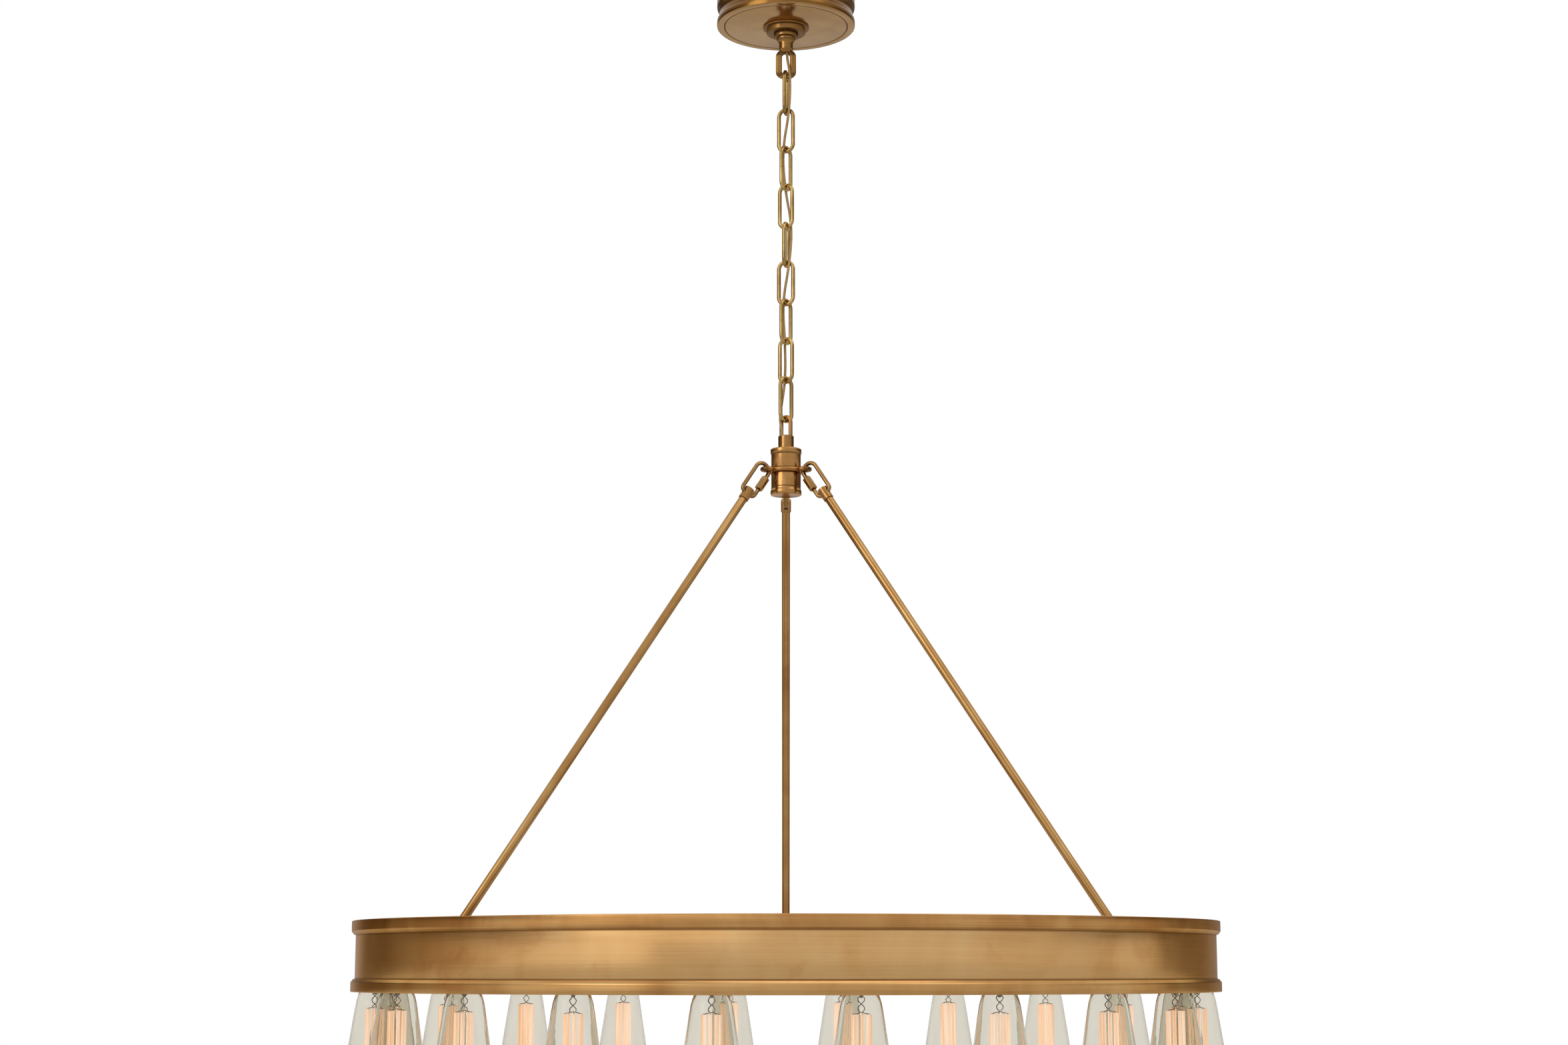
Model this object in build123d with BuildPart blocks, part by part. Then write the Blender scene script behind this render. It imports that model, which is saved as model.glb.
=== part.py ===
import math
import os

from build123d import *

os.makedirs("parts", exist_ok=True)

# All sizes are in millimetres. The ceiling is z = 0 and the chandelier hangs below it.
# The side that faces the viewer is -Y.

# Ceiling bar and threaded pipe
bar_length = 118.0
bar_width = 20.0
bar_thickness = 2.5
bar_corner = 3.0
box_screw_spacing = 88.9
box_slot_length = 16.0
box_slot_width = 5.0
pipe_radius = 5.0
pipe_bore = 3.2
thread_clearance = 0.05
hexagon = 6
lock_nut_flats = 16.0
lock_nut_height = 4.0

# Canopy and its screw collar
canopy_radius = 86.5
canopy_height = 44.0
canopy_wall = 2.0
canopy_brim = 7.0
canopy_brim_step = 2.0
canopy_bead = 11.0
canopy_cove_depth = 3.3
canopy_cove_width = 6.0
canopy_slope = 5.0
canopy_edge = 1.0
canopy_groove_radius = 77.0
canopy_groove_width = 1.6
canopy_groove_depth = 1.0
canopy_hole_radius = 17.0
collar_flange_radius = 28.8
collar_flange_height = 2.6
collar_radius = 24.5
collar_height = 9.0
collar_chamfer = 1.5
collar_clearance = 0.3

# Canopy loop: screwed shoulder, flared neck and a cast eye
shoulder_radius = 15.0
shoulder_above_collar = 5.0
shoulder_height = 10.0
neck_top_radius = 11.6
neck_radius = 8.8
neck_step = 3.0
neck_height = 13.0
neck_root = 4.0
neck_foot_radius = 5.5
eye_width = 25.4
eye_bar = 7.8
eye_thickness = 5.6
eye_opening_height = 26.1
eye_crown = 5.5
eye_foot = 5.6
eye_corner = 9.0
eye_inner_corner = 3.5
eye_chamfer = 1.8

# Chain
link_count = 9
link_wire = 4.8
link_width = 23.4
link_inner_length = 49.3
bow_steps = 5
seat_gap = 0.3
wire_sides = 8
link_turns = (78.0, -20.0, 52.0, -34.0, 74.0, -20.0, 52.0, -36.0, 44.0)

# Power cord woven through the chain: plan position beside each seat, from the top
cord_diameter = 3.2
cord_top_drop = 12.0
cord_lead_drop = 79.0
cord_entry_rise = 6.0
cord_weave = (
    (5.4, -6.4),
    (4.6, -8.0),
    (-4.7, 7.6),
    (-1.2, 8.1),
    (7.7, 2.0),
    (4.6, -9.4),
    (-4.6, 7.4),
    (-1.1, 8.1),
    (-0.6, 8.2),
    (-8.5, -0.8),
)
cord_bend_share = 0.4

# Hub
hub_loop_turn = -30.0
hub_loop_wire = 4.9
hub_loop_width = 17.8
hub_loop_height = 21.3
hub_base_radius = 9.5
hub_base_height = 16.5
hub_base_chamfer = 0.8
cord_hole_radius = 2.1
cord_hole_x = -4.3
cord_hole_y = -4.4
hub_radius = 18.0
hub_rim_radius = 18.9
hub_rim_height = 5.0
hub_rim_slope = 2.4
hub_rim_edge = 1.2
hub_upper_height = 24.6
hub_lower_height = 27.2
hub_wall = 2.5
hub_stem_radius = 4.0
hub_stem_seat = 9.0
flange_radius = 22.5
flange_thickness = 5.5
flange_chamfer = 1.6
lug_seat_radius = 32.1
lug_bar = 5.2
lug_hole_radius = 3.9

# Quick links between the flange and the rods
clip_wire = 5.0
clip_spacing = 18.7
clip_reach = 39.0
clip_rise = 6.2
clip_top_corner = 8.6
clip_foot_corner = 5.2
clip_corner_steps = 3
clip_gap = 7.0
sleeve_flats = 9.2
sleeve_length = 18.0
sleeve_bore_clearance = 0.12
sleeve_start = 6.9
sleeve_cover = 1.3

# Rods, their ferrules and their clevis feet
rod_azimuths = {"left": 210.0, "right": 330.0, "back": 90.0}
rod_length = 669.6
rod_radius = 5.1
rod_wall = 1.0
ferrule_radius = 6.25
ferrule_above = 6.5
ferrule_below = 9.0
ferrule_hole_clearance = 1.05
rod_seat_depth = 5.0
foot_end = 6.5
foot_pin_radius = 2.5
foot_pin_clearance = 0.05
foot_pin_head_radius = 4.2
foot_pin_head = 2.0
foot_standoff = 17.0
clevis_base_width = 30.0
clevis_base_height = 40.0
clevis_base = 3.0
clevis_cheek = 4.0
clevis_cheek_radius = 7.0
clevis_gap = 0.3

# Ring
ring_radius = 508.0
ring_height = 80.5
ring_above_pin = 36.3
lip_projection = 4.8
top_lip_height = 15.6
bottom_lip_height = 14.7
lip_bevel_height = 3.8
lip_bevel = 3.0
lip_chamfer = 1.0
band_wall = 2.0
channel_width = 43.6
cover_thickness = 2.0
socket_plate_thickness = 2.0
harness_wire = 3.0

# Sockets and bulbs
bulb_count = 20
first_bulb_angle = 279.0
socket_mouth_rise = 4.0
socket_radius = 18.0
socket_height = 46.0
socket_bore = 13.8
socket_bore_depth = 27.0
bulb_seat_gap = 0.3
bulb_cap_radius = 13.2
bulb_cap_height = 25.0
bulb_neck_radius = 15.5
bulb_flare_radius = 20.9
bulb_flare_height = 12.9
bulb_radius = 32.0
bulb_length = 118.7
bulb_wall = 1.2
bulb_end_steps = 4
bulb_sides = 12


def write_copy(part, name, place):
    """Write a placed copy of a finished piece under its own name."""
    copy = part.moved(place)
    copy.label = name
    export_step(copy, f"parts/{name}.step")


def ring_of(inner_radius, outer_radius, bottom, height):
    """A plain hoop about the vertical axis."""
    with BuildPart() as hoop:
        with BuildSketch(Plane.XY.offset(bottom)):
            Circle(outer_radius)
            Circle(inner_radius, mode=Mode.SUBTRACT)
        extrude(amount=height)
    return hoop.part


def wire_section(thickness):
    """Section of a bent wire, with a flat on each side."""
    RegularPolygon(thickness / 2, wire_sides, major_radius=False, rotation=180 / wire_sides)


# Ceiling bar: two slots for the outlet box screws and a centre hole for the pipe
with BuildPart() as ceiling_bar:
    with BuildSketch(Plane.XY.offset(-bar_thickness)):
        RectangleRounded(bar_length, bar_width, bar_corner)
        Circle(pipe_radius + thread_clearance, mode=Mode.SUBTRACT)
        with GridLocations(box_screw_spacing, 0, 2, 1):
            SlotOverall(box_slot_length, box_slot_width, mode=Mode.SUBTRACT)
    extrude(amount=bar_thickness)
ceiling_bar.part.label = "ceiling_bar"
export_step(ceiling_bar.part, "parts/ceiling_bar.step")

with BuildPart() as lock_nut:
    with BuildSketch(Plane.XY.offset(-bar_thickness - lock_nut_height)):
        RegularPolygon(lock_nut_flats / 2, hexagon, major_radius=False)
        Circle(pipe_radius + thread_clearance, mode=Mode.SUBTRACT)
    extrude(amount=lock_nut_height)
lock_nut.part.label = "pipe_lock_nut"
export_step(lock_nut.part, "parts/pipe_lock_nut.step")

# Heights of the canopy loop, worked down from the ceiling
collar_bottom = -canopy_height - collar_height
shoulder_top = collar_bottom + shoulder_above_collar
shoulder_bottom = shoulder_top - shoulder_height
neck_bottom = shoulder_bottom - neck_step - neck_height
eye_opening_top = neck_bottom - eye_crown
eye_bar_top = eye_opening_top - eye_opening_height
eye_bottom = eye_bar_top - eye_foot
pipe_bottom = shoulder_bottom - neck_step

with BuildPart() as pipe:
    with BuildSketch(Plane.XY.offset(pipe_bottom)):
        Circle(pipe_radius)
        Circle(pipe_bore, mode=Mode.SUBTRACT)
    extrude(amount=-pipe_bottom)
pipe.part.label = "threaded_pipe"
export_step(pipe.part, "parts/threaded_pipe.step")

# Canopy: a spun cup with two beads, a cove between them and a scribed ring on its face
cove_top = -canopy_brim - canopy_brim_step - canopy_bead
cove_floor_top = cove_top - canopy_slope
cove_floor_bottom = cove_floor_top - canopy_cove_width
cove_bottom = cove_floor_bottom - canopy_slope
groove_outer = canopy_groove_radius + canopy_groove_width / 2
groove_inner = canopy_groove_radius - canopy_groove_width / 2
canopy_inner = canopy_radius - canopy_cove_depth - canopy_wall
with BuildPart() as canopy:
    with BuildSketch(Plane.XZ):
        with BuildLine():
            Polyline(
                (canopy_inner, 0),
                (canopy_radius - canopy_brim_step, 0),
                (canopy_radius - canopy_brim_step, -canopy_brim),
                (canopy_radius, -canopy_brim - canopy_brim_step),
                (canopy_radius, cove_top),
                (canopy_radius - canopy_cove_depth, cove_floor_top),
                (canopy_radius - canopy_cove_depth, cove_floor_bottom),
                (canopy_radius, cove_bottom),
                (canopy_radius, -canopy_height + canopy_edge),
                (canopy_radius - canopy_edge, -canopy_height),
                (groove_outer, -canopy_height),
                (canopy_groove_radius, -canopy_height + canopy_groove_depth),
                (groove_inner, -canopy_height),
                (canopy_hole_radius, -canopy_height),
                (canopy_hole_radius, -canopy_height + canopy_wall),
                (canopy_inner, -canopy_height + canopy_wall),
                close=True,
            )
        make_face()
    revolve(axis=Axis.Z)
canopy.part.label = "canopy"
export_step(canopy.part, "parts/canopy.step")

# Screw collar: holds the canopy up, and passes over the eye when it is run down
collar_bore = shoulder_radius + collar_clearance
with BuildPart() as collar:
    with BuildSketch(Plane.XZ):
        with BuildLine():
            Polyline(
                (collar_bore, -canopy_height),
                (collar_flange_radius, -canopy_height),
                (collar_flange_radius, -canopy_height - collar_flange_height),
                (collar_radius, -canopy_height - collar_flange_height),
                (collar_radius, collar_bottom + collar_chamfer),
                (collar_radius - collar_chamfer, collar_bottom),
                (collar_bore, collar_bottom),
                close=True,
            )
        make_face()
    revolve(axis=Axis.Z)
collar.part.label = "canopy_collar"
export_step(collar.part, "parts/canopy_collar.step")

# Canopy loop: a turned shoulder and neck above a cast eye that faces the viewer
with BuildPart() as canopy_loop:
    with BuildSketch(Plane.XZ.offset(-eye_thickness / 2)):
        with Locations((0, (neck_bottom + eye_bottom) / 2)):
            RectangleRounded(eye_width, neck_bottom - eye_bottom, eye_corner)
        with Locations((0, (eye_opening_top + eye_bar_top) / 2)):
            RectangleRounded(
                eye_width - 2 * eye_bar, eye_opening_height, eye_inner_corner, mode=Mode.SUBTRACT
            )
    extrude(amount=eye_thickness)
    chamfer(canopy_loop.faces().filter_by(Axis.Y).edges(), eye_chamfer)
    with BuildSketch(Plane.XZ):
        with BuildLine():
            Polyline(
                (0, shoulder_top),
                (shoulder_radius, shoulder_top),
                (shoulder_radius, shoulder_bottom),
                (neck_top_radius, shoulder_bottom),
                (neck_top_radius, shoulder_bottom - neck_step),
                (neck_radius, shoulder_bottom - 2 * neck_step),
                (neck_radius, neck_bottom),
                (neck_foot_radius, neck_bottom - neck_root),
                (0, neck_bottom - neck_root),
                close=True,
            )
        make_face()
    revolve(axis=Axis.Z)
    with Locations((0, 0, shoulder_top)):
        Hole(pipe_radius + thread_clearance, shoulder_top - pipe_bottom)
    with Locations((0, 0, pipe_bottom)):
        Hole(pipe_bore, pipe_bottom - eye_opening_top + eye_inner_corner)
canopy_loop.part.label = "canopy_loop"
export_step(canopy_loop.part, "parts/canopy_loop.step")

# Chain: each link is bent from one wire, and hangs a seat gap above the bow that carries it
link_pitch = link_inner_length - seat_gap
chain_top = eye_bar_top + seat_gap / 2
seat_heights = [chain_top - link_pitch * index for index in range(link_count + 1)]
link_half_width = (link_width - link_wire) / 2
bow_rise = link_half_width * math.cos(math.pi / 2 / bow_steps)
side_half = (link_inner_length + link_wire) / 2 - bow_rise


def bow_points(radius, height, first_angle):
    """Corners of a half-round bow bent in equal steps."""
    angles = [math.radians(first_angle + 180 * step / bow_steps) for step in range(bow_steps + 1)]
    return [(radius * math.cos(angle), height + radius * math.sin(angle)) for angle in angles]


with BuildPart() as link:
    with BuildLine(Plane.XZ) as link_route:
        Polyline(
            (link_half_width, 0),
            *bow_points(link_half_width, side_half, 0),
            *bow_points(link_half_width, -side_half, 180),
            close=True,
        )
    with BuildSketch(Plane((link_half_width, 0, 0), x_dir=(1, 0, 0), z_dir=(0, 0, 1))):
        wire_section(link_wire)
    sweep(path=link_route.wires()[0], transition=Transition.RIGHT)
for index in range(link_count):
    middle = (seat_heights[index] + seat_heights[index + 1]) / 2
    place = Location((0, 0, middle), (0, 0, link_turns[index]))
    write_copy(link.part, f"chain_link_{index + 1}", place)

# Hub loop: a bail on a round base, with a hole where the cord goes in
hub_bail_top = seat_heights[-1] + seat_gap / 2
hub_base_top = hub_bail_top - hub_loop_height
hub_top = hub_base_top - hub_base_height
bail_half_width = (hub_loop_width - hub_loop_wire) / 2
bail_bow_rise = bail_half_width * math.cos(math.pi / 2 / bow_steps)
bail_bow_height = hub_bail_top + hub_loop_wire / 2 - bail_bow_rise
bail_foot = hub_base_top - hub_loop_wire
with BuildPart() as hub_loop:
    with BuildSketch(Plane.XY.offset(hub_top)):
        Circle(hub_base_radius)
    extrude(amount=hub_base_height)
    chamfer(hub_loop.faces().sort_by(Axis.Z)[-1].edges(), hub_base_chamfer)
    with BuildLine(Plane.XZ) as bail_route:
        Polyline(
            (bail_half_width, bail_foot),
            *bow_points(bail_half_width, bail_bow_height, 0),
            (-bail_half_width, bail_foot),
        )
    with BuildSketch(Plane((bail_half_width, 0, bail_foot), x_dir=(1, 0, 0), z_dir=(0, 0, 1))):
        wire_section(hub_loop_wire)
    sweep(path=bail_route.wires()[0], transition=Transition.RIGHT)
    with Locations((0, 0, hub_top)):
        Cylinder(
            hub_stem_radius + thread_clearance,
            hub_stem_seat,
            align=(Align.CENTER, Align.CENTER, Align.MIN),
            mode=Mode.SUBTRACT,
        )
    turn_back = math.radians(-hub_loop_turn)
    hole_x = cord_hole_x * math.cos(turn_back) - cord_hole_y * math.sin(turn_back)
    hole_y = cord_hole_x * math.sin(turn_back) + cord_hole_y * math.cos(turn_back)
    with Locations((hole_x, hole_y, hub_base_top)):
        Hole(cord_hole_radius, hub_base_height)
write_copy(hub_loop.part, "hub_loop", Location((0, 0, 0), (0, 0, hub_loop_turn)))

# Hub: two rimmed cups with the flange clamped between them on a threaded stem
flange_top = hub_top - hub_upper_height
flange_middle = flange_top - flange_thickness / 2
flange_bottom = flange_top - flange_thickness
hub_bottom = flange_bottom - hub_lower_height
with BuildPart() as hub_upper:
    with BuildSketch(Plane.XZ):
        with BuildLine():
            Polyline(
                (0, hub_top),
                (hub_rim_radius - hub_rim_edge, hub_top),
                (hub_rim_radius, hub_top - hub_rim_edge),
                (hub_rim_radius, hub_top - hub_rim_height),
                (hub_radius, hub_top - hub_rim_height - hub_rim_slope),
                (hub_radius, flange_top),
                (hub_radius - hub_wall, flange_top),
                (hub_radius - hub_wall, hub_top - hub_wall),
                (0, hub_top - hub_wall),
                close=True,
            )
        make_face()
    revolve(axis=Axis.Z)
    with Locations((0, 0, hub_top)):
        Hole(hub_stem_radius + thread_clearance, hub_wall)
    with Locations((cord_hole_x, cord_hole_y, hub_top)):
        Hole(cord_hole_radius, hub_wall)
hub_upper.part.label = "hub_upper_cup"
export_step(hub_upper.part, "parts/hub_upper_cup.step")

with BuildPart() as hub_lower:
    with BuildSketch(Plane.XZ):
        with BuildLine():
            Polyline(
                (0, hub_bottom),
                (hub_rim_radius - hub_rim_edge, hub_bottom),
                (hub_rim_radius, hub_bottom + hub_rim_edge),
                (hub_rim_radius, hub_bottom + hub_rim_height),
                (hub_radius, hub_bottom + hub_rim_height + hub_rim_slope),
                (hub_radius, flange_bottom),
                (hub_radius - hub_wall, flange_bottom),
                (hub_radius - hub_wall, hub_bottom + hub_wall),
                (0, hub_bottom + hub_wall),
                close=True,
            )
        make_face()
    revolve(axis=Axis.Z)
hub_lower.part.label = "hub_lower_cup"
export_step(hub_lower.part, "parts/hub_lower_cup.step")

with BuildPart() as hub_stem:
    with BuildSketch(Plane.XY.offset(hub_bottom + hub_wall)):
        Circle(hub_stem_radius)
    extrude(amount=hub_top + hub_stem_seat - hub_bottom - hub_wall)
hub_stem.part.label = "hub_stem"
export_step(hub_stem.part, "parts/hub_stem.step")

# Flange: a disc with three cast eyes, one towards each rod
lug_hole = lug_seat_radius - lug_bar / 2 - lug_hole_radius


def rounded_section(inner, outer, inner_cut):
    """Half-section of a flat ring of the flange's thickness, with its edges taken off."""
    Polyline(
        (inner + inner_cut, flange_bottom),
        (outer - flange_chamfer, flange_bottom),
        (outer, flange_bottom + flange_chamfer),
        (outer, flange_top - flange_chamfer),
        (outer - flange_chamfer, flange_top),
        (inner + inner_cut, flange_top),
        (inner, flange_top - inner_cut),
        (inner, flange_bottom + inner_cut),
        close=True,
    )


with BuildPart() as flange_eye:
    with BuildSketch(Plane.XZ.shift_origin((lug_hole, 0, 0))):
        with BuildLine():
            rounded_section(lug_hole_radius, lug_hole_radius + lug_bar, flange_chamfer)
        make_face()
    revolve(axis=Axis((lug_hole, 0, 0), (0, 0, 1)))

with BuildPart() as flange:
    with BuildSketch(Plane.XY.offset(flange_bottom)):
        Circle(flange_radius)
        Circle(hub_stem_radius + thread_clearance, mode=Mode.SUBTRACT)
    extrude(amount=flange_thickness)
    outer_rims = flange.edges().filter_by(GeomType.CIRCLE).sort_by(SortBy.RADIUS)[-2:]
    chamfer(outer_rims, flange_chamfer)
    for azimuth in rod_azimuths.values():
        with Locations(Location((0, 0, 0), (0, 0, azimuth))):
            add(flange_eye.part)
            with Locations((lug_hole, 0, flange_middle)):
                Cylinder(lug_hole_radius, flange_thickness, mode=Mode.SUBTRACT)
flange.part.label = "hub_flange"
export_step(flange.part, "parts/hub_flange.step")

# Each rod hangs in a vertical plane, on one straight line with its quick link
foot_pin_reach = ring_radius - lip_projection - 2 * band_wall - channel_width - foot_standoff
rod_line = clip_reach + rod_length
rod_sine = (foot_pin_reach - lug_seat_radius) / rod_line
rod_cosine = math.sqrt(1 - rod_sine**2)


def on_rod(along, across):
    """Reach and height of a point at a distance along the rod line and outwards from it."""
    reach = lug_seat_radius + along * rod_sine + across * rod_cosine
    return reach, flange_middle - along * rod_cosine + across * rod_sine


def rod_plane(along, across=0.0):
    """Plane square to the rod line, with its normal pointing down the rod."""
    reach, height = on_rod(along, across)
    return Plane((reach, 0, height), x_dir=(rod_cosine, 0, rod_sine), z_dir=(rod_sine, 0, -rod_cosine))


def corner_points(along, across, radius, first_angle):
    """Corners of a quarter bend about a centre given along and across the rod line."""
    points = []
    for step in range(clip_corner_steps + 1):
        angle = math.radians(first_angle + 90 * step / clip_corner_steps)
        points.append(on_rod(along - radius * math.sin(angle), across + radius * math.cos(angle)))
    return points


# Quick link: a wire loop with a gap on its inner side that a screw sleeve closes
clip_half = clip_spacing / 2
gap_start = sleeve_start + sleeve_cover
top_centre = clip_top_corner - clip_rise
foot_centre = clip_reach - clip_foot_corner
with BuildPart() as quick_link:
    with BuildLine(Plane.XZ) as clip_route:
        Polyline(
            on_rod(gap_start, -clip_half),
            *reversed(corner_points(top_centre, clip_top_corner - clip_half, clip_top_corner, 90)),
            *reversed(corner_points(top_centre, clip_half - clip_top_corner, clip_top_corner, 0)),
            *reversed(corner_points(foot_centre, clip_half - clip_foot_corner, clip_foot_corner, 270)),
            *reversed(corner_points(foot_centre, clip_foot_corner - clip_half, clip_foot_corner, 180)),
            on_rod(gap_start + clip_gap, -clip_half),
        )
    gate = rod_plane(gap_start, -clip_half)
    with BuildSketch(Plane(gate.origin, x_dir=gate.x_dir, z_dir=-gate.z_dir)):
        wire_section(clip_wire)
    sweep(path=clip_route.wires()[0], transition=Transition.RIGHT)

sleeve_bore = clip_wire / 2 / math.cos(math.pi / wire_sides) + sleeve_bore_clearance
with BuildPart() as sleeve:
    with BuildSketch(rod_plane(sleeve_start, -clip_half)):
        RegularPolygon(sleeve_flats / 2, hexagon, major_radius=False)
        Circle(sleeve_bore, mode=Mode.SUBTRACT)
    extrude(amount=sleeve_length)

# Ferrule: cross-drilled for the quick link's foot, with a socket for the rod
ferrule_hole = clip_wire / 2 / math.cos(math.pi / wire_sides) + ferrule_hole_clearance
rod_start = clip_reach + ferrule_below - rod_seat_depth
rod_end = rod_line - ferrule_below + rod_seat_depth
with BuildPart() as ferrule:
    with BuildSketch(rod_plane(clip_reach - ferrule_above)):
        Circle(ferrule_radius)
    extrude(amount=ferrule_above + ferrule_below)
    across_plane = rod_plane(clip_reach)
    with BuildSketch(Plane(across_plane.origin, x_dir=across_plane.z_dir, z_dir=across_plane.x_dir)):
        Circle(ferrule_hole)
    extrude(amount=ferrule_radius, both=True, mode=Mode.SUBTRACT)
    with BuildSketch(rod_plane(rod_start)):
        Circle(rod_radius + thread_clearance)
    extrude(amount=rod_seat_depth, mode=Mode.SUBTRACT)

with BuildPart() as rod:
    with BuildSketch(rod_plane(rod_start)):
        Circle(rod_radius)
        Circle(rod_radius - rod_wall, mode=Mode.SUBTRACT)
    extrude(amount=rod_end - rod_start)

with BuildPart() as foot:
    with BuildSketch(rod_plane(rod_line - ferrule_below)):
        Circle(ferrule_radius)
    extrude(amount=ferrule_below + foot_end)
    with BuildSketch(rod_plane(rod_line - ferrule_below)):
        Circle(rod_radius + thread_clearance)
    extrude(amount=rod_seat_depth, mode=Mode.SUBTRACT)
    pin_reach, pin_height = on_rod(rod_line, 0)
    with BuildSketch(Plane((pin_reach, 0, pin_height), x_dir=(1, 0, 0), z_dir=(0, 1, 0))):
        Circle(foot_pin_radius + foot_pin_clearance)
    extrude(amount=ferrule_radius, both=True, mode=Mode.SUBTRACT)

# Ring heights follow from the foot pins
ring_top = pin_height + ring_above_pin
ring_bottom = ring_top - ring_height
band_radius = ring_radius - lip_projection
channel_outer = band_radius - band_wall
channel_inner = channel_outer - channel_width
inner_face = channel_inner - band_wall
bulb_circle = channel_outer - channel_width / 2

# Clevis: two cheeks on a base that follows the ring's inner wall
cheek_inside = ferrule_radius + clevis_gap
clevis_half = cheek_inside + clevis_cheek
with BuildPart() as clevis:
    with BuildSketch(Plane.XY.offset(pin_height - clevis_base_height / 2)):
        with Locations((inner_face, 0)):
            Rectangle(2 * clevis_base, clevis_base_width)
    extrude(amount=clevis_base_height)
    with BuildSketch(Plane.XZ.offset(-clevis_half)):
        with Locations((pin_reach, pin_height)):
            Circle(clevis_cheek_radius)
        with Locations(((pin_reach + inner_face) / 2, pin_height)):
            Rectangle(inner_face - pin_reach, 2 * clevis_cheek_radius)
    extrude(amount=2 * clevis_half)
    slot_start = pin_reach - clevis_cheek_radius
    slot_end = inner_face - clevis_base
    with Locations(((slot_start + slot_end) / 2, 0, pin_height)):
        Box(slot_end - slot_start, 2 * cheek_inside, 2 * clevis_base_height, mode=Mode.SUBTRACT)
    with BuildSketch(Plane.XZ.offset(-clevis_half)):
        with Locations((pin_reach, pin_height)):
            Circle(foot_pin_radius + foot_pin_clearance)
    extrude(amount=2 * clevis_half, mode=Mode.SUBTRACT)
    with Locations((0, 0, pin_height)):
        Cylinder(inner_face, 2 * clevis_base_height, mode=Mode.INTERSECT)

with BuildPart() as foot_pin:
    with BuildSketch(Plane.XZ.offset(-clevis_half)):
        with Locations((pin_reach, pin_height)):
            Circle(foot_pin_radius)
    extrude(amount=2 * clevis_half)
    with BuildSketch(Plane.XZ.offset(clevis_half)):
        with Locations((pin_reach, pin_height)):
            Circle(foot_pin_head_radius)
    extrude(amount=foot_pin_head)

for side, azimuth in rod_azimuths.items():
    turn = Location((0, 0, 0), (0, 0, azimuth))
    write_copy(quick_link.part, f"quick_link_{side}", turn)
    write_copy(sleeve.part, f"quick_link_sleeve_{side}", turn)
    write_copy(ferrule.part, f"rod_ferrule_{side}", turn)
    write_copy(rod.part, f"rod_{side}", turn)
    write_copy(foot.part, f"rod_foot_{side}", turn)
    write_copy(clevis.part, f"ring_clevis_{side}", turn)
    write_copy(foot_pin.part, f"foot_pin_{side}", turn)

# Ring: two walls and two plates make the channel, with a lip round each outer edge
outer_band = ring_of(channel_outer, band_radius, ring_bottom, ring_height)
outer_band.label = "outer_band"
export_step(outer_band, "parts/outer_band.step")

inner_band = ring_of(inner_face, channel_inner, ring_bottom, ring_height)
inner_band.label = "inner_band"
export_step(inner_band, "parts/inner_band.step")

top_cover = ring_of(channel_inner, channel_outer, ring_top - cover_thickness, cover_thickness)
top_cover.label = "top_cover"
export_step(top_cover, "parts/top_cover.step")

socket_top = ring_bottom + socket_mouth_rise + socket_height
socket_plate = ring_of(channel_inner, channel_outer, socket_top, socket_plate_thickness)
socket_plate.label = "socket_plate"
export_step(socket_plate, "parts/socket_plate.step")


def lip_of(edge, height):
    """A lip from the ring's edge towards its middle, bevelled down to the wall."""
    face_end = edge + math.copysign(abs(height) - lip_bevel_height, height)
    with BuildPart() as lip:
        with BuildSketch(Plane.XZ):
            with BuildLine():
                Polyline(
                    (band_radius, edge),
                    (ring_radius - lip_chamfer, edge),
                    (ring_radius, edge + math.copysign(lip_chamfer, height)),
                    (ring_radius, face_end),
                    (ring_radius - lip_bevel, edge + height),
                    (band_radius, edge + height),
                    close=True,
                )
            make_face()
        revolve(axis=Axis.Z)
    return lip.part


top_lip = lip_of(ring_top, -top_lip_height)
top_lip.label = "top_lip"
export_step(top_lip, "parts/top_lip.step")

bottom_lip = lip_of(ring_bottom, bottom_lip_height)
bottom_lip.label = "bottom_lip"
export_step(bottom_lip, "parts/bottom_lip.step")

# Wiring loop that lies on the socket plate, straight from socket to socket
harness_height = socket_top + socket_plate_thickness + harness_wire / 2
with BuildPart() as harness:
    with BuildSketch(Plane.XY.offset(harness_height - harness_wire / 2)):
        RegularPolygon(bulb_circle + harness_wire / 2, bulb_count, rotation=first_bulb_angle)
        RegularPolygon(
            bulb_circle - harness_wire / 2, bulb_count, rotation=first_bulb_angle, mode=Mode.SUBTRACT
        )
    extrude(amount=harness_wire)
harness.part.label = "socket_wiring"
export_step(harness.part, "parts/socket_wiring.step")

# Sockets hang under the plate, with their mouths just above the ring's lower edge
socket_mouth = ring_bottom + socket_mouth_rise
with BuildPart() as sockets:
    with BuildSketch(Plane.XY.offset(socket_mouth)):
        with PolarLocations(bulb_circle, bulb_count, first_bulb_angle):
            RegularPolygon(socket_radius, bulb_sides)
    extrude(amount=socket_height)
    with BuildSketch(Plane.XY.offset(socket_mouth)):
        with PolarLocations(bulb_circle, bulb_count, first_bulb_angle):
            RegularPolygon(socket_bore, bulb_sides, major_radius=False)
    extrude(amount=socket_bore_depth, mode=Mode.SUBTRACT)
sockets.part.label = "sockets"
export_step(sockets.part, "parts/sockets.step")

# Bulb: a teardrop of glass with a round end, hollow below its screw cap
glass_top = socket_mouth - bulb_seat_gap
glass_bottom = glass_top - bulb_length
round_centre = glass_bottom + bulb_radius
flare_height = glass_top - bulb_flare_height
side_slope = math.atan2(bulb_radius - bulb_flare_radius, flare_height - round_centre)


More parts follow.
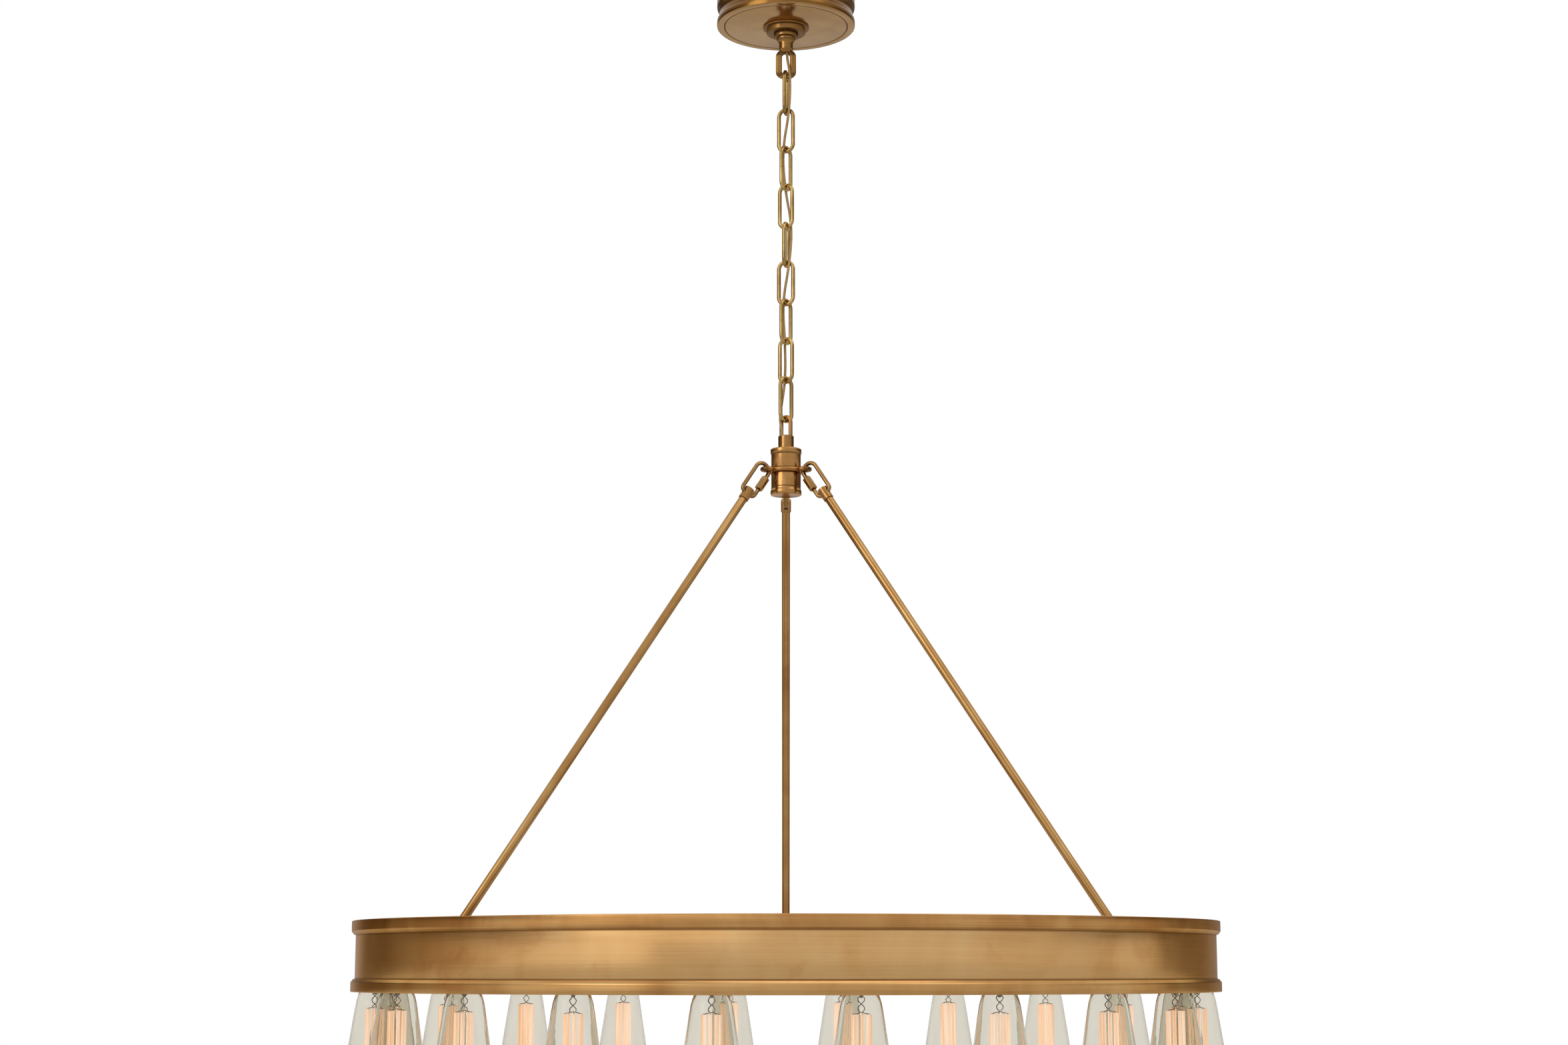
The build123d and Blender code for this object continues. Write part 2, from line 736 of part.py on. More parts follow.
def teardrop(skin):
    """Form of the glass at a depth below its outer face, drawn up level by level."""
    end_radius = bulb_radius - skin
    with BuildPart() as form:
        for step in range(1, bulb_end_steps + 1):
            angle = (math.pi / 2 + side_slope) * step / bulb_end_steps
            level = round_centre - end_radius * math.cos(angle)
            with BuildSketch(Plane.XY.offset(glass_bottom + skin if step == 1 else level)):
                RegularPolygon(end_radius * math.sin(angle), bulb_sides)
        with BuildSketch(Plane.XY.offset(flare_height)):
            RegularPolygon(bulb_flare_radius - skin, bulb_sides)
        with BuildSketch(Plane.XY.offset(glass_top - skin)):
            RegularPolygon(bulb_neck_radius - skin, bulb_sides)
        loft(ruled=True)
    return form.part


with BuildPart() as bulb:
    add(teardrop(0))
    add(teardrop(bulb_wall), mode=Mode.SUBTRACT)
    with BuildSketch(Plane.XY.offset(glass_top)):
        RegularPolygon(bulb_cap_radius, bulb_sides)
    extrude(amount=bulb_cap_height)
bulb_places = PolarLocations(bulb_circle, bulb_count, first_bulb_angle).locations
bulbs = Compound(label="bulbs", children=[bulb.part.moved(place) for place in bulb_places])
export_step(bulbs, "parts/bulbs.step")

# Power cord: down the pipe, woven through the chain and into the hub
cord_points = [(0, 0, -cord_top_drop), (0, 0, -cord_lead_drop)]
for (x, y), height in zip(cord_weave, seat_heights):
    cord_points.append((x, y, height))
cord_points.append((cord_hole_x, cord_hole_y, hub_base_top + cord_entry_rise))
cord_points.append((cord_hole_x, cord_hole_y, hub_top - hub_wall - hub_rim_height))
cord_runs = [Vector(*end) - Vector(*start) for start, end in zip(cord_points, cord_points[1:])]
cord_radii = []
for before, after in zip(cord_runs, cord_runs[1:]):
    half_turn = math.radians(before.get_angle(after)) / 2
    cord_radii.append(cord_bend_share * min(before.length, after.length) / math.tan(half_turn))
with BuildPart() as cord:
    with BuildLine() as cord_route:
        FilletPolyline(*cord_points, radius=cord_radii)
    with BuildSketch(Plane(cord_points[0], x_dir=(1, 0, 0), z_dir=(0, 0, -1))):
        wire_section(cord_diameter)
    sweep(path=cord_route.wires()[0])
cord.part.label = "power_cord"
export_step(cord.part, "parts/power_cord.step")
print("cord radii", [round(radius, 1) for radius in cord_radii])
print("cord length", round(cord_route.wires()[0].length, 1), "volume", round(cord.part.volume, 1))
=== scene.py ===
import math
import bmesh
import bpy
from mathutils import Matrix, Vector


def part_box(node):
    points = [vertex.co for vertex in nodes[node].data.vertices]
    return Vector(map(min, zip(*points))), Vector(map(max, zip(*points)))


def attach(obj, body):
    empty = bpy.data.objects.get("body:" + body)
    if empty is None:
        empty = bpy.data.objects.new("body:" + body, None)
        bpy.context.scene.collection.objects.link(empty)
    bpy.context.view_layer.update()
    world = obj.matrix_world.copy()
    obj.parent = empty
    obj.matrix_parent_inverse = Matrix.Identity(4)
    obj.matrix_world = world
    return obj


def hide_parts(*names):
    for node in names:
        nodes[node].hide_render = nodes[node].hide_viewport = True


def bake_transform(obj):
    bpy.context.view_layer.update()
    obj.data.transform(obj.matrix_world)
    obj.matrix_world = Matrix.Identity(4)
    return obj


mm = 0.001
fullTurn = 2 * math.pi
mergeGap = 2e-6  # metres; the forms below are in mm unless they say so
mendGap = 1e-6
scene = bpy.context.scene
scene.view_settings.view_transform = "Standard"

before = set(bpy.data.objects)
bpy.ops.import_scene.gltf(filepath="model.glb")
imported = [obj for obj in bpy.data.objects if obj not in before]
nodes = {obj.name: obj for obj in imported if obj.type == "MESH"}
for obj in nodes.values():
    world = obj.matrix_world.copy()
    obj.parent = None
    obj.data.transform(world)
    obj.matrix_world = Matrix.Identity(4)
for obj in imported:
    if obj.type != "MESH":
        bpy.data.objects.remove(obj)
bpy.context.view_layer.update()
print("frame loaded,", len(nodes), "nodes")


class Feed:
    # a socket in a node tree; sums on feeds and numbers add Math nodes
    def __init__(self, tree, socket=None):
        self.tree = tree
        self.socket = socket

    def fill(self, made, sockets):
        for key, value in sockets.items():
            if isinstance(value, Feed):
                self.tree.links.new(value.socket, made.inputs[key])
            else:
                made.inputs[key].default_value = value

    def node(self, kind, settings=None, sockets=None, out=0):
        made = self.tree.nodes.new(kind)
        for key, value in (settings or {}).items():
            if key == "stops":
                stops = made.color_ramp.elements
                stops.remove(stops[1])
                stops[0].position, stops[0].color = value[0][0], (*value[0][1], 1)
                for position, colour in value[1:]:
                    stops.new(position).color = (*colour, 1)
            else:
                setattr(made, key, value)
        self.fill(made, sockets or {})
        return Feed(self.tree, made.outputs[out])

    def also(self, out):
        return Feed(self.tree, self.socket.node.outputs[out])

    def sum(self, operation, first, second):
        return self.node("ShaderNodeMath", {"operation": operation}, {0: first, 1: second})

    def __add__(self, other):
        return self.sum("ADD", self, other)

    def __sub__(self, other):
        return self.sum("SUBTRACT", self, other)

    def __rsub__(self, other):
        return self.sum("SUBTRACT", other, self)

    def __mul__(self, other):
        return self.sum("MULTIPLY", self, other)

    __radd__ = __add__
    __rmul__ = __mul__

    def ease(self, low, high):
        return self.node(
            "ShaderNodeMapRange",
            {"interpolation_type": "SMOOTHSTEP"},
            {"Value": self, "From Min": low, "From Max": high},
        )

    def blendColour(self, first, second):
        return self.node("ShaderNodeMix", {"data_type": "RGBA"}, {0: self, 6: first, 7: second}, out=2)


def rgb(red, green, blue):
    return (red, green, blue, 1)


def startFinish(name):
    material = bpy.data.materials.new(name)
    material.use_nodes = True
    return material, material.node_tree.nodes["Principled BSDF"], Feed(material.node_tree)


# Brass: drawn lines, broad patches of patina, redder stains, and painted shade in bands at grooves, joints
# and shaded zones
def brassFinish(name, look):
    material, shader, feed = startFinish(name)
    coords = feed.node("ShaderNodeTexCoord", out="Object")
    stretched = feed.node("ShaderNodeMapping", None, {"Vector": coords, "Scale": look["lines"]})
    lines = feed.node(
        "ShaderNodeTexNoise", None,
        {"Vector": stretched, "Scale": 1, "Detail": 6, "Roughness": 0.62},
    )
    upright = feed.node("ShaderNodeMapping", None, {"Vector": coords, "Scale": look["patches"]})
    patches = feed.node(
        "ShaderNodeTexNoise", None,
        {"Vector": upright, "Scale": 1, "Detail": 5, "Roughness": 0.55, "Distortion": 0.6},
    )
    stains = feed.node(
        "ShaderNodeTexNoise", None,
        {"Vector": coords, "Scale": look["stains"], "Detail": 5, "Roughness": 0.6, "Distortion": 1.2},
    )
    tone = lines * look["lineShare"] + patches * (1 - look["lineShare"])
    low, middle, high = look["toneStops"]
    tarnish = feed.node(
        "ShaderNodeValToRGB",
        {"stops": [(low, look["dark"]), (middle, look["mid"]), (high, look["pale"])]},
        {"Fac": tone},
    )
    stained = stains.ease(*look["stainEase"]) * look["stainShare"]
    colour = stained.blendColour(tarnish, rgb(*look["stain"]))
    roughness = (tone - middle) * look["roughSpread"] + look["rough"]
    split = feed.node("ShaderNodeSeparateXYZ", None, {0: coords})
    # painted shade: each band blends the colour towards the seam colour at a groove, a joint or a shaded zone
    for way, spot, core, reach, share in look["shadeBands"]:
        if way == "height":
            gap = split.also("Z") - spot * mm
        else:
            radius = feed.sum("POWER", split * split + split.also("Y") * split.also("Y"), 0.5)
            gap = radius - spot * mm
        seam = (1 - feed.sum("ABSOLUTE", gap, 0).ease(core * mm, reach * mm)) * share
        colour = seam.blendColour(colour, rgb(*look["seam"]))
        roughness = roughness + seam * look["shadeBandRough"]
    relief = feed.node(
        "ShaderNodeBump", None,
        {"Strength": look["relief"], "Distance": look["reliefDepth"], "Height": lines},
    )
    feed.fill(shader, {
        "Base Color": colour,
        "Metallic": 1.0,
        "Roughness": roughness,
        "Specular Tint": rgb(*look["edge"]),
        "Normal": relief,
    })
    return material


brushedLook = {
    "lines": (7.0, 7.0, 900.0),
    "patches": (8.0, 8.0, 4.0),
    "stains": 10.0,
    "lineShare": 0.28,
    "toneStops": (0.34, 0.5, 0.66),
    "dark": (0.48, 0.24, 0.077),
    "mid": (0.64, 0.367, 0.145),
    "pale": (0.70, 0.45, 0.205),
    "stain": (0.46, 0.19, 0.055),
    "stainShare": 0.45,
    "stainEase": (0.54, 0.74),
    "edge": (0.88, 0.68, 0.48),
    # seam: the colour of the painted shade laid in the bands below
    "seam": (0.10, 0.048, 0.016),
    "shadeBandRough": 0.1,
    # a band of painted shade: which way it is measured, its place, core and reach in mm, and its share; here
    # the joints below the top lip and above the bottom lip
    "shadeBands": [("height", -1171.6, 0.4, 1.6, 0.4), ("height", -1220.9, 0.4, 1.6, 0.6)],
    "rough": 0.19,
    "roughSpread": 0.16,
    "relief": 0.05,
    "reliefDepth": 0.0004,
}
innerLook = dict(brushedLook, shadeBands=[])
# painted shade along the lip's lower bevel, which faces down
topLipLook = dict(
    brushedLook, patches=(11.0, 11.0, 5.0), shadeBands=[("height", -1170.2, 0.7, 1.9, 0.4)],
    dark=(0.36, 0.16, 0.046), mid=(0.51, 0.26, 0.088), pale=(0.64, 0.375, 0.145), rough=0.22,
)
bottomLipLook = dict(
    topLipLook, shadeBands=[], dark=(0.43, 0.215, 0.07), mid=(0.56, 0.31, 0.115), pale=(0.65, 0.40, 0.165),
)
turnedLook = dict(
    brushedLook, lines=(24.0, 24.0, 2400.0), patches=(16.0, 16.0, 16.0), stains=30.0, stainShare=0.2,
    lineShare=0.3, dark=(0.29, 0.14, 0.042), mid=(0.385, 0.20, 0.066), pale=(0.47, 0.265, 0.10),
    rough=0.19, roughSpread=0.12, relief=0.02, edge=(0.95, 0.85, 0.75), shadeBands=[],
)
rodLook = dict(
    turnedLook, lines=(30.0, 30.0, 15.0), patches=(9.0, 9.0, 9.0), stains=10.0, lineShare=0.1,
    dark=(0.30, 0.145, 0.045), mid=(0.40, 0.215, 0.073), pale=(0.48, 0.285, 0.11), rough=0.2, relief=0.008,
)
chainLook = dict(
    turnedLook, lines=(60.0, 60.0, 60.0), patches=(18.0, 18.0, 18.0), stains=20.0, lineShare=0.1,
    dark=(0.28, 0.168, 0.05), mid=(0.425, 0.28, 0.095), pale=(0.58, 0.41, 0.155), rough=0.18, relief=0.008,
)
clipLook = dict(chainLook, dark=(0.21, 0.11, 0.036), mid=(0.31, 0.17, 0.058), pale=(0.41, 0.245, 0.095))
# painted highlight: a brighter, oranger copy of the turned brass for the flange's rounded rim, with a band of
# painted shade round the eyes
flangeLook = dict(
    turnedLook, dark=(0.33, 0.152, 0.044), mid=(0.44, 0.22, 0.07), pale=(0.53, 0.295, 0.108), rough=0.24,
    seam=(0.12, 0.056, 0.018), shadeBands=[("radius", 37.0, 5.0, 8.5, 0.85)],
)
# painted shade: the whole side is darkened, and dark bands are painted in the groove, the cove edges and the
# scribed ring of the lower face
canopyLook = dict(
    turnedLook, dark=(0.34, 0.18, 0.06), mid=(0.425, 0.236, 0.082), pale=(0.50, 0.295, 0.115),
    rough=0.165, roughSpread=0.05, edge=(1.0, 0.97, 0.93), seam=(0.15, 0.06, 0.008), shadeBandRough=0.03,
    shadeBands=[
        ("height", -20.8, 21.4, 22.9, 0.7),  # painted shade over the whole side, darker than the lower face, damping its highlights
        ("height", -8.0, 0.6, 1.6, 0.7),
        ("height", -23.5, 0.9, 2.6, 0.7),
        ("height", -32.6, 0.9, 2.6, 0.7),
        ("radius", 77.0, 0.5, 1.4, 0.8),
    ],
)
# a darker copy of the turned brass; painted shade in bands at the collar and neck steps and inside the top
# and bottom of the eye's opening
loopLook = dict(
    turnedLook, dark=(0.22, 0.108, 0.03), mid=(0.31, 0.16, 0.046), pale=(0.39, 0.215, 0.075),
    shadeBands=[
        ("height", -46.8, 0.3, 1.1, 0.7),
        ("height", -53.2, 0.4, 1.4, 0.75),
        ("height", -58.2, 0.4, 1.4, 0.8),
        ("height", -61.6, 0.4, 1.5, 0.6),
        ("height", -79.4, 0.8, 3.2, 0.75),
        ("height", -106.4, 1.0, 3.4, 0.75),
    ],
)
hubLook = dict(
    turnedLook, dark=(0.36, 0.176, 0.056), mid=(0.47, 0.248, 0.085), pale=(0.565, 0.322, 0.123),
    # painted shade in bands at the upper rim's step, where the flange meets the cups, and in the scribed line
    shadeBands=[
        ("height", -591.0, 0.35, 1.0, 0.75),
        ("height", -608.4, 0.4, 1.4, 0.8),
        ("height", -614.5, 0.4, 1.8, 0.8),
        ("height", -631.8, 0.3, 0.8, 0.75),
    ],
)
brushedBrass = brassFinish("brushed antique brass", brushedLook)
innerBrass = brassFinish("brushed antique brass inside", innerLook)
topLipBrass = brassFinish("antique brass upper lip", topLipLook)
bottomLipBrass = brassFinish("antique brass lower lip", bottomLipLook)
canopyBrass = brassFinish("spun antique brass", canopyLook)
turnedBrass = brassFinish("turned antique brass", turnedLook)
loopBrass = brassFinish("turned antique brass loop", loopLook)
hubBrass = brassFinish("turned antique brass hub", hubLook)
rodBrass = brassFinish("drawn brass tube", rodLook)
chainBrass = brassFinish("brass wire", chainLook)
clipBrass = brassFinish("dull brass wire", clipLook)
flangeBrass = brassFinish("flange brass with painted highlight and shade", flangeLook)


# Steel: zinc plate with a faint spangle
def steelFinish(name, look):
    material, shader, feed = startFinish(name)
    coords = feed.node("ShaderNodeTexCoord", out="Object")
    spangle = feed.node(
        "ShaderNodeTexVoronoi", None, {"Vector": coords, "Scale": look["spangle"]}, out="Color"
    )
    grey = feed.node("ShaderNodeTexNoise", None, {"Vector": coords, "Scale": look["cloud"], "Detail": 5})
    low, high = look["toneStops"]
    tone = feed.node(
        "ShaderNodeValToRGB", {"stops": [(low, look["dark"]), (high, look["pale"])]}, {"Fac": grey}
    )
    colour = feed.node(
        "ShaderNodeMix",
        {"data_type": "RGBA", "blend_type": "SOFT_LIGHT"},
        {0: look["spangleShare"], 6: tone, 7: spangle},
        out=2,
    )
    roughness = grey * look["roughSpread"] + look["rough"]
    feed.fill(shader, {"Base Color": colour, "Metallic": 1.0, "Roughness": roughness})
    return material


zincLook = {
    "spangle": 260.0,
    "cloud": 90.0,
    "spangleShare": 0.25,
    "toneStops": (0.3, 0.7),
    "dark": (0.46, 0.46, 0.45),
    "pale": (0.68, 0.68, 0.66),
    "rough": 0.28,
    "roughSpread": 0.2,
}
zincPlate = steelFinish("zinc plate", zincLook)
supportWire = steelFinish(
    "bulb support wire", dict(zincLook, cloud=400.0, dark=(0.34, 0.30, 0.26), pale=(0.52, 0.46, 0.40))
)


# Plain mouldings: a speckle and a slow change of tone
def mouldedFinish(name, look):
    material, shader, feed = startFinish(name)
    coords = feed.node("ShaderNodeTexCoord", out="Object")
    cloud = feed.node(
        "ShaderNodeTexNoise", None,
        {"Vector": coords, "Scale": look["cloud"], "Detail": 6, "Roughness": 0.7},
    )
    fine = feed.node("ShaderNodeTexNoise", None, {"Vector": coords, "Scale": look["speckle"], "Detail": 3})
    tone = cloud * look["cloudShare"] + fine * (1 - look["cloudShare"])
    low, high = look["toneStops"]
    colour = feed.node(
        "ShaderNodeValToRGB", {"stops": [(low, look["dark"]), (high, look["pale"])]}, {"Fac": tone}
    )
    relief = feed.node(
        "ShaderNodeBump", None,
        {"Strength": look["relief"], "Distance": look["reliefDepth"], "Height": fine},
    )
    roughness = tone * look["roughSpread"] + look["rough"]
    feed.fill(shader, {"Base Color": colour, "Roughness": roughness, "Normal": relief})
    return material


socketLook = {
    "cloud": 60.0,
    "speckle": 900.0,
    "cloudShare": 0.6,
    "toneStops": (0.36, 0.64),
    "dark": (0.56, 0.53, 0.46),
    "pale": (0.68, 0.65, 0.58),
    "rough": 0.42,
    "roughSpread": 0.2,
    "relief": 0.1,
    "reliefDepth": 0.0003,
}
sleeveLook = dict(
    socketLook, cloud=40.0, speckle=700.0, dark=(0.66, 0.63, 0.55), pale=(0.80, 0.78, 0.70), rough=0.45,
)
cordLook = dict(
    socketLook, cloud=120.0, speckle=1400.0, dark=(0.32, 0.18, 0.058), pale=(0.50, 0.315, 0.118), rough=0.25,
)
socketCream = mouldedFinish("moulded socket", socketLook)
wireSleeve = mouldedFinish("wire sleeve", sleeveLook)
cordJacket = mouldedFinish("gold cord jacket", cordLook)


# Glass: clear with a pale warm grey body, darker where it is seen edge on
def glassFinish(name, look):
    material, shader, feed = startFinish(name)
    coords = feed.node("ShaderNodeTexCoord", out="Object")
    streak = feed.node("ShaderNodeMapping", None, {"Vector": coords, "Scale": look["streaks"]})
    cords = feed.node("ShaderNodeTexNoise", None, {"Vector": streak, "Scale": 1, "Detail": 2})
    edge = feed.node("ShaderNodeLayerWeight", None, {"Blend": look["edgeBlend"]}, out="Facing")
    low, high = look["toneStops"]
    body = feed.node(
        "ShaderNodeValToRGB", {"stops": [(low, look["clear"]), (high, look["tint"])]}, {"Fac": cords}
    )
    feed.fill(shader, {
        "Base Color": edge.ease(*look["edgeEase"]).blendColour(body, rgb(*look["edge"])),
        "Roughness": cords * look["roughSpread"],
        "IOR": look["ior"],
        "Transmission Weight": 1.0,
    })
    return material


bulbLook = {
    "streaks": (60.0, 60.0, 9.0),
    "toneStops": (0.3, 0.7),
    "clear": (0.845, 0.828, 0.772),
    "tint": (0.82, 0.798, 0.737),
    "edge": (0.66, 0.62, 0.53),
    "edgeBlend": 0.35,
    "edgeEase": (0.35, 1.0),
    "roughSpread": 0.02,
    "ior": 1.2,
}
stemLook = dict(
    bulbLook, clear=(0.86, 0.87, 0.84), tint=(0.80, 0.81, 0.77), edge=(0.55, 0.54, 0.47),
    edgeBlend=0.5, ior=1.45,
)
bulbGlass = glassFinish("clear bulb glass", bulbLook)
stemGlass = glassFinish("bulb stem glass", stemLook)


# Filament: a coated stick that glows peach, brighter and warmer by turns along it
def filamentFinish(name, look):
    material, shader, feed = startFinish(name)
    coords = feed.node("ShaderNodeTexCoord", out="Object")
    upright = feed.node("ShaderNodeMapping", None, {"Vector": coords, "Scale": look["beads"]})
    beads = feed.node("ShaderNodeTexNoise", None, {"Vector": upright, "Scale": 1, "Detail": 3})
    low, high = look["toneStops"]
    glow = feed.node(
        "ShaderNodeValToRGB", {"stops": [(low, look["warm"]), (high, look["bright"])]}, {"Fac": beads}
    )
    feed.fill(shader, {
        "Base Color": rgb(*look["coat"]),
        "Roughness": beads * look["roughSpread"] + look["rough"],
        "Emission Color": glow,
        "Emission Strength": look["strength"],
    })
    return material


filamentLook = {
    "beads": (190.0, 190.0, 8.0),
    "toneStops": (0.38, 0.6),
    "coat": (0.62, 0.40, 0.22),
    "warm": (0.78, 0.50, 0.33),
    "bright": (0.93, 0.765, 0.665),
    "strength": 0.83,
    "rough": 0.4,
    "roughSpread": 0.3,
}
filamentCoat = filamentFinish("filament coat", filamentLook)
print("finishes made")


# A lathe: corners of a section as (radius, height, corner rounding), turned about the z axis
def turnSection(bm, section, steps=64, corner=3):
    oldEdges, oldFaces = set(bm.edges), set(bm.faces)
    rounded = {}
    outline = []
    for radius, height, *rounding in section:
        point = bm.verts.new((radius * mm, 0, height * mm))
        outline.append(point)
        if rounding:
            rounded.setdefault(rounding[0], []).append(point)
    bm.faces.new(outline)
    for size, points in rounded.items():
        bmesh.ops.bevel(
            bm, geom=points, offset=size * mm, offset_type="OFFSET", affect="VERTICES",
            segments=corner, profile=0.5, material=-1,
        )
    bmesh.ops.delete(bm, geom=[f for f in bm.faces if f not in oldFaces], context="FACES_ONLY")
    newEdges = [e for e in bm.edges if e not in oldEdges]
    onAxis = [e for e in newEdges if all(abs(v.co.x) < 1e-9 for v in e.verts)]
    bmesh.ops.delete(bm, geom=onAxis, context="EDGES")
    lathe = [e for e in bm.edges if e not in oldEdges]
    lathe += list({v for e in lathe for v in e.verts})
    bmesh.ops.spin(
        bm, geom=lathe, cent=(0, 0, 0), axis=(0, 0, 1), dvec=(0, 0, 0),
        angle=fullTurn, steps=steps, use_merge=True, use_duplicate=False,
    )


# A bent wire: a round section that is run straight and bent about centres, end by end
def startWire(bm, thickness, sides, centre):
    ring = bmesh.ops.create_circle(
        bm, cap_ends=False, radius=thickness * mm / 2, segments=sides,
        matrix=Matrix.Translation(Vector(centre) * mm),
    )
    return list({e for v in ring["verts"] for e in v.link_edges})


def runWire(bm, edges, move, swell=1.0):
    grown = bmesh.ops.extrude_edge_only(bm, edges=edges)["geom"]
    tip = [g for g in grown if isinstance(g, bmesh.types.BMVert)]
    bmesh.ops.translate(bm, verts=tip, vec=Vector(move) * mm)
    if swell != 1.0:
        middle = sum((v.co for v in tip), Vector()) / len(tip)
        bmesh.ops.scale(bm, verts=tip, vec=(swell, swell, swell), space=Matrix.Translation(-middle))
    return [g for g in grown if isinstance(g, bmesh.types.BMEdge) and all(v in tip for v in g.verts)]


def bendWire(bm, edges, centre, degrees, steps):
    section = list(edges) + list({v for e in edges for v in e.verts})
    bent = bmesh.ops.spin(
        bm, geom=section, cent=Vector(centre) * mm, axis=(0, -1, 0), dvec=(0, 0, 0),
        angle=math.radians(degrees), steps=steps, use_merge=False, use_duplicate=False,
    )
    return [g for g in bent["geom_last"] if isinstance(g, bmesh.types.BMEdge)]


def closeHoles(bm):
    bmesh.ops.remove_doubles(bm, verts=bm.verts, dist=mendGap)
    bmesh.ops.holes_fill(bm, edges=[e for e in bm.edges if e.is_boundary], sides=0)


def ringCopies(bm, count):
    bmesh.ops.spin(
        bm, geom=bm.verts[:] + bm.edges[:] + bm.faces[:], cent=(0, 0, 0), axis=(0, 0, 1), dvec=(0, 0, 0),
        angle=fullTurn * (count - 1) / count, steps=count - 1, use_merge=False, use_duplicate=True,
    )


def place(bm, matrix):
    bmesh.ops.transform(bm, matrix=matrix, verts=bm.verts)


def finishPiece(bm, name, material, body, cadNodes, sharp=40):
    bmesh.ops.remove_doubles(bm, verts=bm.verts, dist=mergeGap)
    bmesh.ops.recalc_face_normals(bm, faces=bm.faces)
    mesh = bpy.data.meshes.new(name)
    bm.to_mesh(mesh)
    bm.free()
    mesh.materials.append(material)
    mesh.shade_smooth()
    mesh.set_sharp_from_angle(angle=math.radians(sharp))
    piece = bpy.data.objects.new(name, mesh)
    scene.collection.objects.link(piece)
    if body:
        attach(piece, body)
    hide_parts(*cadNodes)
    return piece


# Canopy and its collar
canopyForm = {
    "cup": [
        (81.2, 0), (84.5, 0, 0.5), (84.5, -7, 0.4), (86.5, -9, 0.8), (86.5, -20, 1.6), (83.2, -25, 1.8),
        (83.2, -31, 1.8), (86.5, -36, 1.6), (86.5, -44, 1.3), (77.8, -44, 0.2), (77, -43), (76.2, -44, 0.2),
        (17, -44), (17, -42), (81.2, -42, 0.5),
    ],
    "collar": [
        (15.3, -44), (28.8, -44, 0.4), (28.8, -46.6, 0.9), (24.5, -46.6, 0.3), (24.5, -53, 1.6),
        (15.3, -53, 0.4),
    ],
}
bm = bmesh.new()
turnSection(bm, canopyForm["cup"], steps=160)
finishPiece(bm, "canopy_cup", canopyBrass, "canopy", ["canopy"])
bm = bmesh.new()
turnSection(bm, canopyForm["collar"], steps=96)
finishPiece(bm, "screw_collar", loopBrass, "canopy", ["canopy_collar"])

# Canopy loop: turned neck with a cast eye below it
loopForm = {
    "neck": [
        (0, -48), (15, -48, 0.5), (15, -58, 1.0), (11.6, -58, 0.3), (11.6, -61, 0.8), (8.8, -64, 1.6),
        (8.8, -74, 1.0), (5.5, -78), (0, -78),
    ],
    "outer": (25.4, 37.2, 9.0),
    "inner": (9.8, 26.1, 3.5),
    "outerMiddle": -92.6,
    "innerMiddle": -92.55,
    "thickness": 5.6,
    "edge": 1.9,
    "rimAngle": 60,
}


def roundedOutline(bm, width, height, corner, middle):
    corners = [
        bm.verts.new((x * width * mm / 2, 0, (middle + z * height / 2) * mm))
        for x, z in ((-1, -1), (1, -1), (1, 1), (-1, 1))
    ]
    bm.faces.new(corners)
    bmesh.ops.bevel(
        bm, geom=corners, offset=corner * mm, offset_type="OFFSET", affect="VERTICES",
        segments=7, profile=0.5, material=-1,
    )


bm = bmesh.new()
roundedOutline(bm, *loopForm["outer"], loopForm["outerMiddle"])
roundedOutline(bm, *loopForm["inner"], loopForm["innerMiddle"])
bmesh.ops.delete(bm, geom=bm.faces[:], context="FACES_ONLY")
bmesh.ops.bridge_loops(bm, edges=bm.edges[:])
bmesh.ops.translate(bm, verts=bm.verts, vec=(0, -loopForm["thickness"] * mm / 2, 0))
grown = bmesh.ops.extrude_face_region(bm, geom=bm.faces[:])["geom"]
raised = [g for g in grown if isinstance(g, bmesh.types.BMVert)]
bmesh.ops.translate(bm, verts=raised, vec=(0, loopForm["thickness"] * mm, 0))
bmesh.ops.recalc_face_normals(bm, faces=bm.faces)
steep = math.radians(loopForm["rimAngle"])
rims = [e for e in bm.edges if len(e.link_faces) == 2 and e.calc_face_angle() > steep]
bmesh.ops.bevel(
    bm, geom=rims, offset=loopForm["edge"] * mm, offset_type="OFFSET", affect="EDGES",
    segments=4, profile=0.5, material=-1,
)
turnSection(bm, loopForm["neck"])
finishPiece(bm, "loop_with_cast_eye", loopBrass, "ceiling_mount", ["canopy_loop"])
print("canopy made")

# Chain: butted wire links, each turned against the next
chainForm = {
    "wire": 4.8,
    "halfWidth": 9.3,
    "sideHalf": 17.75,
    "firstMiddle": -129.95,
    "pitch": 49.0,
    "turns": (78, -20, 52, -34, 74, -20, 52, -36, 44),
    "sides": 16,
    "seam": 0.22,
    "seamDepth": 0.86,
}


def wireLink(form):
    bm = bmesh.new()
    half, side, seam = form["halfWidth"], form["sideHalf"], form["seam"]
    end = startWire(bm, form["wire"], form["sides"], (half, 0, -side))
    end = runWire(bm, end, (0, 0, 2 * side))
    end = bendWire(bm, end, (0, 0, side), degrees=180, steps=20)
    end = runWire(bm, end, (0, 0, -side + seam))
    end = runWire(bm, end, (0, 0, -seam), form["seamDepth"])
    end = runWire(bm, end, (0, 0, -seam), 1 / form["seamDepth"])
    end = runWire(bm, end, (0, 0, -side + seam))
    bendWire(bm, end, (0, 0, -side), degrees=180, steps=20)
    bmesh.ops.remove_doubles(bm, verts=bm.verts, dist=mergeGap)
    return bm


for index, turn in enumerate(chainForm["turns"]):
    bm = wireLink(chainForm)
    middle = chainForm["firstMiddle"] - chainForm["pitch"] * index
    place(bm, Matrix.Translation((0, 0, middle * mm)) @ Matrix.Rotation(math.radians(turn), 4, "Z"))
    number = index + 1
    finishPiece(
        bm, f"wire_link_{number}", chainBrass, f"link_{number}", [f"chain_link_{number}"]
    )
print("chain made")

